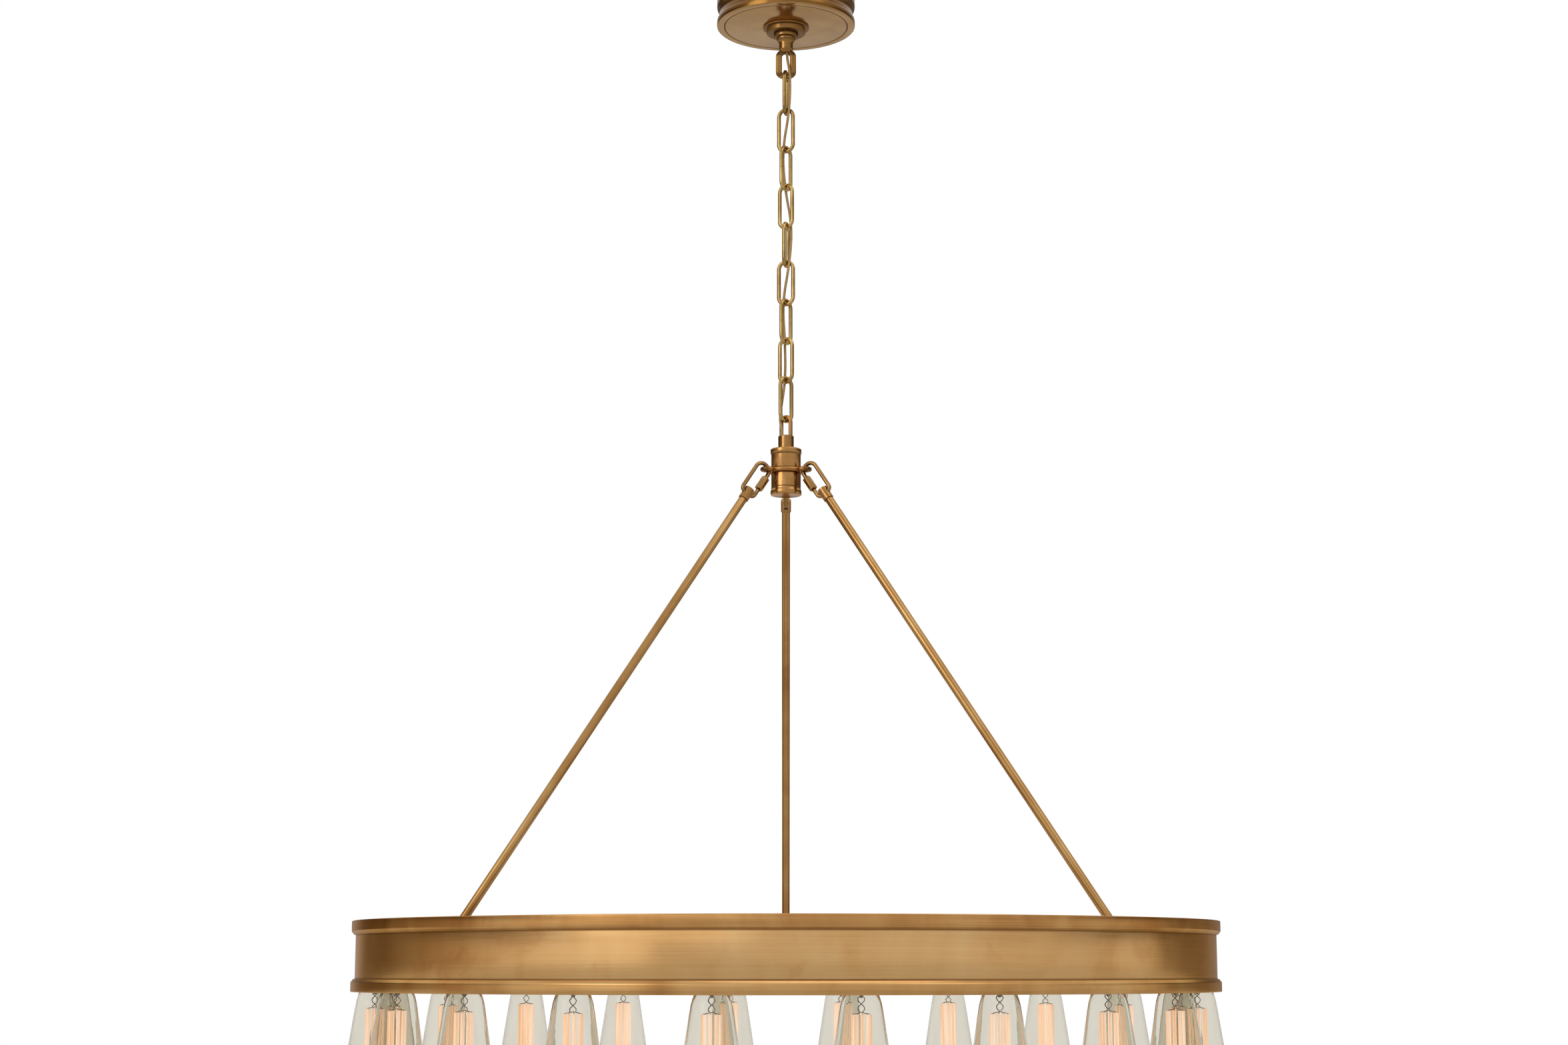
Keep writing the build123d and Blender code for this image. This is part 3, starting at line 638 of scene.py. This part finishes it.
# Power cord, woven through the chain: control points in metres, from the canopy down
cordForm = {
    "diameter": 0.0032,
    "points": [
        (0, 0, -0.012), (0, 0, -0.079), (0.0054, -0.0064, -0.10545), (0.0046, -0.0080, -0.15445),
        (-0.0047, 0.0076, -0.20345), (-0.0012, 0.0081, -0.25245), (0.0077, 0.0020, -0.30145),
        (0.0046, -0.0094, -0.35045), (-0.0046, 0.0074, -0.39945), (-0.0011, 0.0081, -0.44845),
        (-0.0006, 0.0082, -0.49745), (-0.0085, -0.0008, -0.54645), (-0.0043, -0.0044, -0.5616),
        (-0.0043, -0.0044, -0.5916),
    ],
    "firstCut": -0.12995,
    "pitch": 0.0490,
    "firstSeat": -0.10545,
    "bend": 0.012,
}
route = bpy.data.curves.new("cord_route", "CURVE")
route.dimensions = "3D"
route.bevel_depth = cordForm["diameter"] / 2
route.bevel_resolution = 4
route.resolution_u = 10
spline = route.splines.new("NURBS")
spline.points.add(len(cordForm["points"]) - 1)
for point, spot in zip(spline.points, cordForm["points"]):
    point.co = (*spot, 1)
spline.order_u = 3
spline.use_endpoint_u = True
routeObject = bpy.data.objects.new("cord_route", route)
scene.collection.objects.link(routeObject)
bpy.context.view_layer.update()
evaluated = routeObject.evaluated_get(bpy.context.evaluated_depsgraph_get())
cordTube = bpy.data.meshes.new_from_object(evaluated)
bpy.data.objects.remove(routeObject)
cordBodies = ["ceiling_mount"] + [f"link_{number}" for number in range(1, 10)] + ["chandelier"]
for index in range(len(cordBodies) - 1):
    bm = bmesh.new()
    bm.from_mesh(cordTube)
    top = cordForm["firstCut"] - cordForm["pitch"] * (index - 1)
    bottom = top - cordForm["pitch"]
    for height, side in ((top, 1), (bottom, -1)):
        if (index == 0 and side > 0) or (index == len(cordBodies) - 2 and side < 0):
            continue
        bmesh.ops.bisect_plane(
            bm, geom=bm.verts[:] + bm.edges[:] + bm.faces[:], dist=1e-7, plane_co=(0, 0, height),
            plane_no=(0, 0, side), clear_outer=True, clear_inner=False,
        )
    closeHoles(bm)
    length = finishPiece(bm, f"cord_length_{index + 1}", cordJacket, None, ["power_cord"])
    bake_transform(length)
print("cord made")

# Hub: bail and base, two rimmed cups and the flange with its eyes
hubForm = {
    "top": -584.1,
    "bottom": -641.4,
    "flangeTop": -608.7,
    "flangeBottom": -614.2,
    "radius": 18.0,
    "rim": 18.9,
    "rimHeight": 5.0,
    "slope": 2.4,
    "wall": 2.5,
    "scribeDrop": 2.2,
    "scribeHalf": 0.4,
    "scribeDepth": 0.35,
    "rimRound": 1.3,
    "stepRound": 0.9,
    "mouthRound": 0.3,
    "floorRound": 0.5,
    "bailWire": 4.9,
    "bailHalf": 6.45,
    "bailBow": -550.3,
    "bailFoot": -572.5,
    "bailTurn": -30.0,
    "baseRadius": 9.5,
    "baseTop": -567.6,
    "baseEdge": 0.8,
    "cordHole": (-4.3, -4.4, 2.1),
    "holeFloor": 1.0,
    "flangeRadius": 22.2,
    "flangeRound": 2.5,
    "stemBore": 4.05,
    "eyeReach": 25.6,
    "eyeHole": 3.9,
    "eyeOuter": 9.1,
    "eyeHoleRound": 1.8,
    "eyeOuterRound": 2.4,
    "eyeTurn": 210.0,
}
h = hubForm
bm = bmesh.new()
bail = startWire(bm, h["bailWire"], sides=20, centre=(h["bailHalf"], 0, h["bailFoot"]))
bail = runWire(bm, bail, (0, 0, h["bailBow"] - h["bailFoot"]))
bail = bendWire(bm, bail, (0, 0, h["bailBow"]), degrees=180, steps=24)
runWire(bm, bail, (0, 0, h["bailFoot"] - h["bailBow"]))
closeHoles(bm)
place(bm, Matrix.Rotation(math.radians(h["bailTurn"]), 4, "Z"))
# the base's top face is bridged from its edge to the cord hole, which runs down to a thin floor
side = startWire(bm, 2 * h["baseRadius"], sides=48, centre=(0, 0, h["top"]))
side = runWire(bm, side, (0, 0, h["baseTop"] - h["top"] - h["baseEdge"]))
side = runWire(bm, side, (0, 0, h["baseEdge"]), 1 - h["baseEdge"] / h["baseRadius"])
holeX, holeY, holeRadius = h["cordHole"]
mouth = startWire(bm, 2 * holeRadius, sides=48, centre=(holeX, holeY, h["baseTop"]))
bmesh.ops.bridge_loops(bm, edges=side + mouth)
runWire(bm, mouth, (0, 0, h["top"] + h["holeFloor"] - h["baseTop"]))
closeHoles(bm)
finishPiece(bm, "bail_and_base", turnedBrass, "chandelier", ["hub_loop"])

for name, node, edge, inner, way in (
    ("hub_upper_cup_turned", "hub_upper_cup", h["top"], h["flangeTop"], -1),
    ("hub_lower_cup_turned", "hub_lower_cup", h["bottom"], h["flangeBottom"], 1),
):
    rimEnd = edge + way * h["rimHeight"]
    section = [
        (0, edge), (h["rim"], edge, h["rimRound"]), (h["rim"], rimEnd, h["stepRound"]),
        (h["radius"], rimEnd + way * h["slope"], h["stepRound"]),
    ]
    if way > 0:
        scribe = rimEnd + way * (h["slope"] + h["scribeDrop"])
        section += [
            (h["radius"], scribe - h["scribeHalf"]), (h["radius"] - h["scribeDepth"], scribe),
            (h["radius"], scribe + h["scribeHalf"]),
        ]
    bore = h["radius"] - h["wall"]
    cupFloor = edge + way * h["wall"]
    section += [
        (h["radius"], inner, h["mouthRound"]), (bore, inner, h["mouthRound"]),
        (bore, cupFloor, h["floorRound"]), (0, cupFloor),
    ]
    bm = bmesh.new()
    turnSection(bm, section, steps=96)
    finishPiece(bm, name, hubBrass, "chandelier", [node])

bm = bmesh.new()
turnSection(bm, [
    (h["eyeHole"], h["flangeBottom"], h["eyeHoleRound"]),
    (h["eyeOuter"], h["flangeBottom"], h["eyeOuterRound"]),
    (h["eyeOuter"], h["flangeTop"], h["eyeOuterRound"]),
    (h["eyeHole"], h["flangeTop"], h["eyeHoleRound"]),
], steps=48, corner=5)
bmesh.ops.remove_doubles(bm, verts=bm.verts, dist=mergeGap)
bmesh.ops.translate(bm, verts=bm.verts, vec=(h["eyeReach"] * mm, 0, 0))
ringCopies(bm, 3)
place(bm, Matrix.Rotation(math.radians(h["eyeTurn"]), 4, "Z"))
turnSection(bm, [
    (h["stemBore"], h["flangeBottom"]), (h["flangeRadius"], h["flangeBottom"], h["flangeRound"]),
    (h["flangeRadius"], h["flangeTop"], h["flangeRound"]), (h["stemBore"], h["flangeTop"]),
], steps=96, corner=6)
finishPiece(bm, "flange_with_eyes", flangeBrass, "chandelier", ["hub_flange"])
print("hub made")

# Quick links, drawn with z up the rod line and x outwards, then leaned and turned into place
clipForm = {
    "wire": 5.0,
    "half": 9.35,
    "topCentre": 2.4,
    "topCorner": 8.6,
    "footCentre": 33.8,
    "footCorner": 5.2,
    "gapStart": 8.2,
    "gapEnd": 15.2,
    "threadEnd": 24.0,
    "threadPitch": 1.0,
    "threadDepth": 0.9,
    "sides": 20,
    "sleeveStart": 6.9,
    "sleeveLength": 18.0,
    "sleeveFlats": 9.2,
    "sleeveBore": 2.85,
    "sleeveEdge": 0.8,
    "sleeveAngle": 50,
}
rodForm = {
    "seat": 32.1,
    "flangeMiddle": -611.45,
    "footReach": 438.6,
    "line": 708.6,
    "azimuths": {"left": 210.0, "right": 330.0, "back": 90.0},
    "radius": 5.1,
    "start": 43.0,
    "end": 704.6,
    "wall": 1.0,
    "edge": 0.3,
}
lean = math.asin((rodForm["footReach"] - rodForm["seat"]) / rodForm["line"])


def onRod(side):
    turn = Matrix.Rotation(math.radians(rodForm["azimuths"][side]), 4, "Z")
    seat = Matrix.Translation((rodForm["seat"] * mm, 0, rodForm["flangeMiddle"] * mm))
    return turn @ seat @ Matrix.Rotation(-lean, 4, "Y")


def quickLink(form):
    bm = bmesh.new()
    half = form["half"]
    end = startWire(bm, form["wire"], form["sides"], (-half, 0, -form["gapEnd"]))
    turns = int((form["threadEnd"] - form["gapEnd"]) / form["threadPitch"])
    for _ in range(turns):
        end = runWire(bm, end, (0, 0, -form["threadPitch"] / 2), form["threadDepth"])
        end = runWire(bm, end, (0, 0, -form["threadPitch"] / 2), 1 / form["threadDepth"])
    reached = form["gapEnd"] + turns * form["threadPitch"]
    end = runWire(bm, end, (0, 0, reached - form["footCentre"]))
    across = half - form["footCorner"]
    end = bendWire(bm, end, (-across, 0, -form["footCentre"]), degrees=90, steps=8)
    end = runWire(bm, end, (2 * across, 0, 0))
    end = bendWire(bm, end, (across, 0, -form["footCentre"]), degrees=90, steps=8)
    end = runWire(bm, end, (0, 0, form["footCentre"] - form["topCentre"]))
    across = half - form["topCorner"]
    end = bendWire(bm, end, (across, 0, -form["topCentre"]), degrees=90, steps=12)
    end = runWire(bm, end, (-2 * across, 0, 0))
    end = bendWire(bm, end, (-across, 0, -form["topCentre"]), degrees=90, steps=12)
    runWire(bm, end, (0, 0, form["topCentre"] - form["gapStart"]))
    closeHoles(bm)
    return bm


def hexSleeve(form):
    bm = bmesh.new()
    bmesh.ops.create_circle(
        bm, cap_ends=False, radius=form["sleeveFlats"] * mm / 2 / math.cos(math.pi / 6), segments=6
    )
    bmesh.ops.subdivide_edges(bm, edges=bm.edges[:], cuts=3)
    bmesh.ops.create_circle(bm, cap_ends=False, radius=form["sleeveBore"] * mm, segments=24)
    bmesh.ops.bridge_loops(bm, edges=bm.edges[:])
    grown = bmesh.ops.extrude_face_region(bm, geom=bm.faces[:])["geom"]
    lowered = [g for g in grown if isinstance(g, bmesh.types.BMVert)]
    bmesh.ops.translate(bm, verts=lowered, vec=(0, 0, -form["sleeveLength"] * mm))
    bmesh.ops.recalc_face_normals(bm, faces=bm.faces)
    steep = math.radians(form["sleeveAngle"])
    clear = 1.2 * form["sleeveBore"] * mm  # leaves the bore's own edges sharp
    ends = [
        e for e in bm.edges
        if len(e.link_faces) == 2
        and e.calc_face_angle() > steep
        and all(v.co.xy.length > clear for v in e.verts)
    ]
    bmesh.ops.bevel(
        bm, geom=ends, offset=form["sleeveEdge"] * mm, offset_type="OFFSET", affect="EDGES",
        segments=3, profile=0.5, material=-1,
    )
    bmesh.ops.translate(bm, verts=bm.verts, vec=(-form["half"] * mm, 0, -form["sleeveStart"] * mm))
    return bm


for side in rodForm["azimuths"]:
    bm = quickLink(clipForm)
    place(bm, onRod(side))
    finishPiece(bm, f"quick_link_wire_{side}", clipBrass, "chandelier", [f"quick_link_{side}"])
    bm = hexSleeve(clipForm)
    place(bm, onRod(side))
    finishPiece(
        bm, f"hexagon_sleeve_{side}", clipBrass, f"sleeve_{side}", [f"quick_link_sleeve_{side}"],
        sharp=30,
    )
    bm = bmesh.new()
    bore = rodForm["radius"] - rodForm["wall"]
    turnSection(bm, [
        (bore, -rodForm["start"]), (rodForm["radius"], -rodForm["start"], rodForm["edge"]),
        (rodForm["radius"], -rodForm["end"], rodForm["edge"]), (bore, -rodForm["end"]),
    ], steps=40)
    place(bm, onRod(side))
    finishPiece(bm, f"rod_tube_{side}", rodBrass, "chandelier", [f"rod_{side}"])
print("rods and quick links made")

# Ring: walls, cover and lips
ringForm = {
    "lip": 508.0,
    "outer": 503.2,
    "wall": 2.0,
    "channel": 43.6,
    "cover": 2.0,
    "topLip": 15.6,
    "bottomLip": 14.7,
    "bevelDrop": 3.8,
    "bevelDepth": 3.0,
    "edgeRound": 1.0,
    "faceRound": 0.7,
    "bevelRound": 0.5,
    "steps": 256,
}
r = ringForm
ringLow, ringHigh = (corner.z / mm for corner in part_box("outer_band"))
channelOuter = r["outer"] - r["wall"]
channelInner = channelOuter - r["channel"]


def hoop(name, material, inner, outer, low, high, node, rounding=0.3):
    bm = bmesh.new()
    turnSection(bm, [
        (inner, low, rounding), (outer, low, rounding), (outer, high, rounding), (inner, high, rounding),
    ], steps=r["steps"], corner=2)
    finishPiece(bm, name, material, "chandelier", [node])


def lip(name, material, edge, height, node):
    faceEnd = edge + math.copysign(abs(height) - r["bevelDrop"], height)
    bm = bmesh.new()
    turnSection(bm, [
        (r["outer"], edge), (r["lip"], edge, r["edgeRound"]), (r["lip"], faceEnd, r["faceRound"]),
        (r["lip"] - r["bevelDepth"], edge + height, r["bevelRound"]), (r["outer"], edge + height),
    ], steps=r["steps"])
    finishPiece(bm, name, material, "chandelier", [node])


hoop("ring_outer_wall", brushedBrass, channelOuter, r["outer"], ringLow, ringHigh, "outer_band")
hoop("ring_inner_wall", innerBrass, channelInner - r["wall"], channelInner, ringLow, ringHigh, "inner_band")
hoop(
    "ring_top_cover", innerBrass, channelInner, channelOuter, ringHigh - r["cover"], ringHigh, "top_cover",
    rounding=0.2,
)
lip("ring_top_lip", topLipBrass, ringHigh, -r["topLip"], "top_lip")
lip("ring_bottom_lip", bottomLipBrass, ringLow, r["bottomLip"], "bottom_lip")
print("ring made")

# Sockets and bulbs, made once on the axis of the first bulb and copied round the ring
bulbForm = {
    "count": 20,
    "circle": 479.4,
    "firstTurn": 279.0,
    "socketRadius": 18.0,
    "socketBore": 13.8,
    "socketDepth": 27.0,
    "socketHeight": 46.0,
    "skirt": (9, 10, 0.8),  # lower end, upper end and depth of the step above the skirt
    "shoulder": (40, 4),  # height and depth of the slope to the top
    "mouthRise": 4.0,
    "seatGap": 0.3,
    "capRadius": 13.2,
    "capHeight": 25.0,
    "capRise": 0.2,
    "thread": {"turns": 5, "first": 2.5, "pitch": 3.6, "rise": 1.8, "depth": 0.9, "round": 0.5},
    "capCone": (21, 1, 5),  # start height, step in, and radius of the contact at its end
    "neck": 16.6,
    "neckEdge": (0.5, 1.5),  # outwards and down from the glass's top
    "waist": 1.8,
    "flare": 20.9,
    "flareDrop": 12.9,
    "belly": (1.7, 9.5),  # outwards and down from the flare
    "round": 32.0,
    "length": 118.7,
    "skin": 0.6,
    "steps": 44,
    "stem": [(0, 0), (9, 0), (4.6, -2), (2.2, -4, 0.8), (2.0, -6, 0.6), (0, -7)],
    "sticks": 9,
    "stickReach": 9.1,
    "stickRadius": 1.7,
    "stickTop": 19.5,
    "stickLength": 58.0,
    "twist": {"radius": 3.6, "degrees": 55.0, "steps": 6, "wire": 1.0, "drop": 4.0, "rise": 2.5},
    "splayWire": 0.6,
    "splayGap": 0.5,
    "splayDrop": 3.0,
    "coreWire": 1.4,
    "coreRise": 1.0,
}
b = bulbForm
socketMouth = ringLow + b["mouthRise"]
glassTop = socketMouth - b["seatGap"]
toCircle = Matrix.Translation((b["circle"] * mm, 0, 0))
toFirst = Matrix.Rotation(math.radians(b["firstTurn"]), 4, "Z") @ toCircle


def allRound(bm, name, material, node, sharp=40):
    bmesh.ops.remove_doubles(bm, verts=bm.verts, dist=mergeGap)
    place(bm, toFirst)
    ringCopies(bm, b["count"])
    finishPiece(bm, name, material, "chandelier", [node], sharp)


bm = bmesh.new()
skirtLow, skirtHigh, skirtStep = b["skirt"]
shoulderRise, shoulderStep = b["shoulder"]
turnSection(bm, [
    (b["socketBore"], socketMouth, 0.5), (b["socketRadius"], socketMouth, 1.2),
    (b["socketRadius"], socketMouth + skirtLow, 0.3),
    (b["socketRadius"] - skirtStep, socketMouth + skirtHigh, 0.3),
    (b["socketRadius"] - skirtStep, socketMouth + shoulderRise),
    (b["socketRadius"] - shoulderStep, socketMouth + b["socketHeight"]),
    (0, socketMouth + b["socketHeight"]), (0, socketMouth + b["socketDepth"]),
    (b["socketBore"], socketMouth + b["socketDepth"]),
], steps=40)
allRound(bm, "bulb_sockets", socketCream, "sockets")

# glass: an outer and an inner skin from one section, its round end swung from the flare's tangent
slope = math.atan2(b["round"] - b["flare"], b["length"] - b["flareDrop"] - b["round"])
roundMiddle = glassTop - b["length"] + b["round"]


def glassSkin(bm, depth):
    end = b["round"] - depth
    tangent = bm.verts.new((end * math.cos(slope) * mm, 0, (roundMiddle + end * math.sin(slope)) * mm))
    bmesh.ops.spin(
        bm, geom=[tangent], cent=(0, 0, roundMiddle * mm), axis=(0, 1, 0), dvec=(0, 0, 0),
        angle=math.pi / 2 + slope, steps=18, use_merge=False, use_duplicate=False,
    )
    edgeOut, edgeDrop = b["neckEdge"]
    bellyOut, bellyDrop = b["belly"]
    upper = [
        (b["neck"] - depth, glassTop), (b["neck"] + edgeOut - depth, glassTop - edgeDrop),
        (b["flare"] - b["waist"] - depth, glassTop - b["flareDrop"] * 0.5),
        (b["flare"] - depth, glassTop - b["flareDrop"]),
        (b["flare"] + bellyOut - depth, glassTop - b["flareDrop"] - bellyDrop),
    ]
    chain = [bm.verts.new((radius * mm, 0, height * mm)) for radius, height in upper] + [tangent]
    for first, second in zip(chain, chain[1:]):
        bm.edges.new((first, second))
    return chain[0]


bm = bmesh.new()
bm.edges.new((glassSkin(bm, 0), glassSkin(bm, b["skin"])))
bmesh.ops.spin(
    bm, geom=bm.verts[:] + bm.edges[:], cent=(0, 0, 0), axis=(0, 0, 1), dvec=(0, 0, 0),
    angle=fullTurn, steps=b["steps"], use_merge=True, use_duplicate=False,
)
allRound(bm, "bulb_glass_shells", bulbGlass, "bulbs", sharp=70)

# screw cap with rolled thread
bm = bmesh.new()
thread = b["thread"]
coneRise, coneStep, contact = b["capCone"]
capTop = glassTop + b["capHeight"]
section = [(0, glassTop + b["capRise"]), (b["capRadius"], glassTop + b["capRise"])]
for turn in range(thread["turns"]):
    height = glassTop + thread["first"] + thread["pitch"] * turn
    section += [
        (b["capRadius"], height, thread["round"]),
        (b["capRadius"] - thread["depth"], height + thread["rise"], thread["round"]),
    ]
section += [(b["capRadius"] - coneStep, glassTop + coneRise), (contact, capTop - coneStep), (0, capTop)]
turnSection(bm, section, steps=32, corner=2)
allRound(bm, "bulb_screw_caps", zincPlate, "bulbs")

# stem of pressed glass
bm = bmesh.new()
turnSection(bm, [(radius, glassTop + drop, *rounding) for radius, drop, *rounding in b["stem"]], steps=24)
allRound(bm, "bulb_stems", stemGlass, "bulbs")


def straightWire(bm, first, last, thickness, sides=8):
    first, last = Vector(first) * mm, Vector(last) * mm
    run = last - first
    stand = Matrix.Translation((first + last) / 2) @ run.to_track_quat("Z", "Y").to_matrix().to_4x4()
    bmesh.ops.create_cone(
        bm, cap_ends=True, segments=sides, radius1=thickness * mm / 2, radius2=thickness * mm / 2,
        depth=run.length, matrix=stand,
    )


# two twisted leads below the stem, and thin wires splayed from the axis to both ends of the sticks
stickTop = ringLow - b["stickTop"]
stickBottom = stickTop - b["stickLength"]
stickAngles = [fullTurn * number / b["sticks"] for number in range(b["sticks"])]
stickSpots = [(b["stickReach"] * math.cos(angle), b["stickReach"] * math.sin(angle)) for angle in stickAngles]
twist = b["twist"]
twistEnd = stickTop + twist["rise"]
splayEnd = stickBottom - b["splayDrop"]
bm = bmesh.new()
for start in (0, math.pi):
    spots = []
    for step in range(twist["steps"] + 1):
        angle = start + math.radians(twist["degrees"]) * step
        run = (twistEnd - glassTop + twist["drop"]) * step / twist["steps"]
        height = glassTop - twist["drop"] + run
        spots.append((twist["radius"] * math.cos(angle), twist["radius"] * math.sin(angle), height))
    for first, last in zip(spots, spots[1:]):
        straightWire(bm, first, last, twist["wire"])
for outX, outY in stickSpots:
    straightWire(bm, (0, 0, twistEnd), (outX, outY, stickTop + b["splayGap"]), b["splayWire"])
    straightWire(bm, (0, 0, splayEnd), (outX, outY, stickBottom - b["splayGap"]), b["splayWire"])
allRound(bm, "bulb_support_wires", supportWire, "bulbs")

bm = bmesh.new()
straightWire(bm, (0, 0, twistEnd + b["coreRise"]), (0, 0, splayEnd), b["coreWire"])
for outX, outY in stickSpots:
    straightWire(bm, (outX, outY, stickTop), (outX, outY, stickBottom), 2 * b["stickRadius"], sides=12)
allRound(bm, "bulb_filament_sticks", filamentCoat, "bulbs")
print("bulbs made")

# Pieces that keep their CAD mesh and take a finish
keptFinish = {"ceiling_bar": zincPlate, "threaded_pipe": zincPlate, "pipe_lock_nut": zincPlate}
keptFinish.update({"hub_stem": zincPlate, "socket_plate": zincPlate, "socket_wiring": wireSleeve})
for side in rodForm["azimuths"]:
    for node in ("rod_ferrule", "rod_foot", "ring_clevis", "foot_pin"):
        keptFinish[f"{node}_{side}"] = turnedBrass
for node, material in keptFinish.items():
    nodes[node].data.materials.clear()
    nodes[node].data.materials.append(material)
print("finishes given to the kept nodes")

# Camera at the photograph's place, tipped up at the ring and hub
cameraSet = {"lens": 60.53, "sensor": 36.0, "spot": (-0.00246, -3.1601, -1.2109), "tip": 9.629}
cameraData = bpy.data.cameras.new("viewer")
cameraData.lens = cameraSet["lens"]
cameraData.sensor_width = cameraSet["sensor"]
camera = bpy.data.objects.new("viewer", cameraData)
camera.location = cameraSet["spot"]
camera.rotation_euler = (math.radians(90 + cameraSet["tip"]), 0, 0)
scene.collection.objects.link(camera)
scene.camera = camera

# Studio: white to look at and through; reflections see soft panels, by share of a turn from the back
studioSet = {
    "around": [
        (0.0, (0.33, 0.33, 0.33)), (0.06, (0.52, 0.5, 0.48)), (0.1, (0.175, 0.135, 0.095)),
        (0.14, (0.17, 0.13, 0.09)), (0.2, (0.37, 0.29, 0.2)), (0.25, (0.61, 0.53, 0.44)),
        (0.3, (0.95, 0.94, 0.92)), (0.395, (1.24, 1.24, 1.24)), (0.41, (0.72, 0.72, 0.72)),
        (0.5, (0.8, 0.8, 0.8)), (0.64, (0.84, 0.84, 0.84)), (0.74, (0.75, 0.73, 0.71)),
        (0.775, (0.85, 0.83, 0.81)), (0.809, (0.68, 0.65, 0.62)), (0.821, (0.24, 0.215, 0.19)),
        (0.831, (0.46, 0.42, 0.38)), (0.843, (0.26, 0.23, 0.2)), (0.94, (0.33, 0.305, 0.28)),
        (1.0, (0.33, 0.33, 0.33)),
    ],
    "higher": [
        (0.0, (0.26, 0.24, 0.22)), (0.1, (0.1, 0.08, 0.06)), (0.22, (0.12, 0.095, 0.07)),
        (0.3, (0.36, 0.33, 0.3)), (0.37, (1.15, 1.15, 1.15)), (0.46, (1.15, 1.15, 1.15)),
        (0.49, (0.8, 0.8, 0.8)), (0.6, (0.78, 0.78, 0.78)), (0.7, (0.66, 0.65, 0.64)),
        (0.76, (0.2, 0.18, 0.16)), (0.82, (0.1, 0.08, 0.06)), (0.94, (0.14, 0.12, 0.1)),
        (1.0, (0.26, 0.24, 0.22)),
    ],
    "above": (0.9, 0.9, 0.9),
    "below": (0.62, 0.62, 0.62),
    "ambient": (0.72, 0.72, 0.72),
    "higherEase": (0.06, 0.18),
    "aboveEase": (0.24, 0.46),
    "belowEase": (0.12, 0.5),
}
world = bpy.data.worlds.new("studio")
world.use_nodes = True
scene.world = world
feed = Feed(world.node_tree)
toward = feed.node("ShaderNodeTexCoord", out="Generated")
split = feed.node("ShaderNodeSeparateXYZ", None, {0: toward})
turnShare = feed.sum("ARCTAN2", split, 0 - split.also("Y")) * (1 / fullTurn) + 0.5
height = split.also("Z")
around, higher = (
    feed.node("ShaderNodeValToRGB", {"stops": studioSet[row]}, {"Fac": turnShare})
    for row in ("around", "higher")
)
panels = height.ease(*studioSet["higherEase"]).blendColour(around, higher)
panels = height.ease(*studioSet["aboveEase"]).blendColour(panels, rgb(*studioSet["above"]))
panels = (0 - height).ease(*studioSet["belowEase"]).blendColour(panels, rgb(*studioSet["below"]))
rays = feed.node("ShaderNodeLightPath", out="Is Camera Ray")
seen = feed.sum("MAXIMUM", rays, rays.also("Is Transmission Ray"))
light = rays.also("Is Glossy Ray").blendColour(rgb(*studioSet["ambient"]), panels)
light = seen.blendColour(light, rgb(1, 1, 1))
feed.fill(world.node_tree.nodes["Background"], {"Color": light, "Strength": 1.0})

lampSet = [
    ("soft_key", (-2.6, -2.4, 0.7), (0, 0, -0.9), 2.0, 18),
    ("soft_fill", (2.2, -1.8, 1.9), (0, 0, -0.9), 2.0, 8),
    ("soft_top", (0.3, -0.3, 1.9), (0, 0, -0.9), 2.4, 12),
]
for name, spot, target, size, watts in lampSet:
    lampData = bpy.data.lights.new(name, "AREA")
    lampData.shape = "DISK"
    lampData.size = size
    lampData.energy = watts
    lamp = bpy.data.objects.new(name, lampData)
    lamp.location = spot
    lamp.rotation_euler = (Vector(target) - Vector(spot)).to_track_quat("-Z", "Y").to_euler()
    scene.collection.objects.link(lamp)

floorSet = {"radius": 16.0, "height": -2.6, "tone": (0.86, 0.86, 0.85), "rough": 0.9}
bm = bmesh.new()
bmesh.ops.create_circle(
    bm, cap_ends=True, radius=floorSet["radius"], segments=96,
    matrix=Matrix.Translation((0, 0, floorSet["height"])),
)
floorMesh = bpy.data.meshes.new("floor")
bm.to_mesh(floorMesh)
bm.free()
floorPaint, floorShader, feed = startFinish("floor paint")
feed.fill(floorShader, {"Base Color": rgb(*floorSet["tone"]), "Roughness": floorSet["rough"]})
floorMesh.materials.append(floorPaint)
floor = bpy.data.objects.new("floor", floorMesh)
scene.collection.objects.link(floor)
print("studio made")
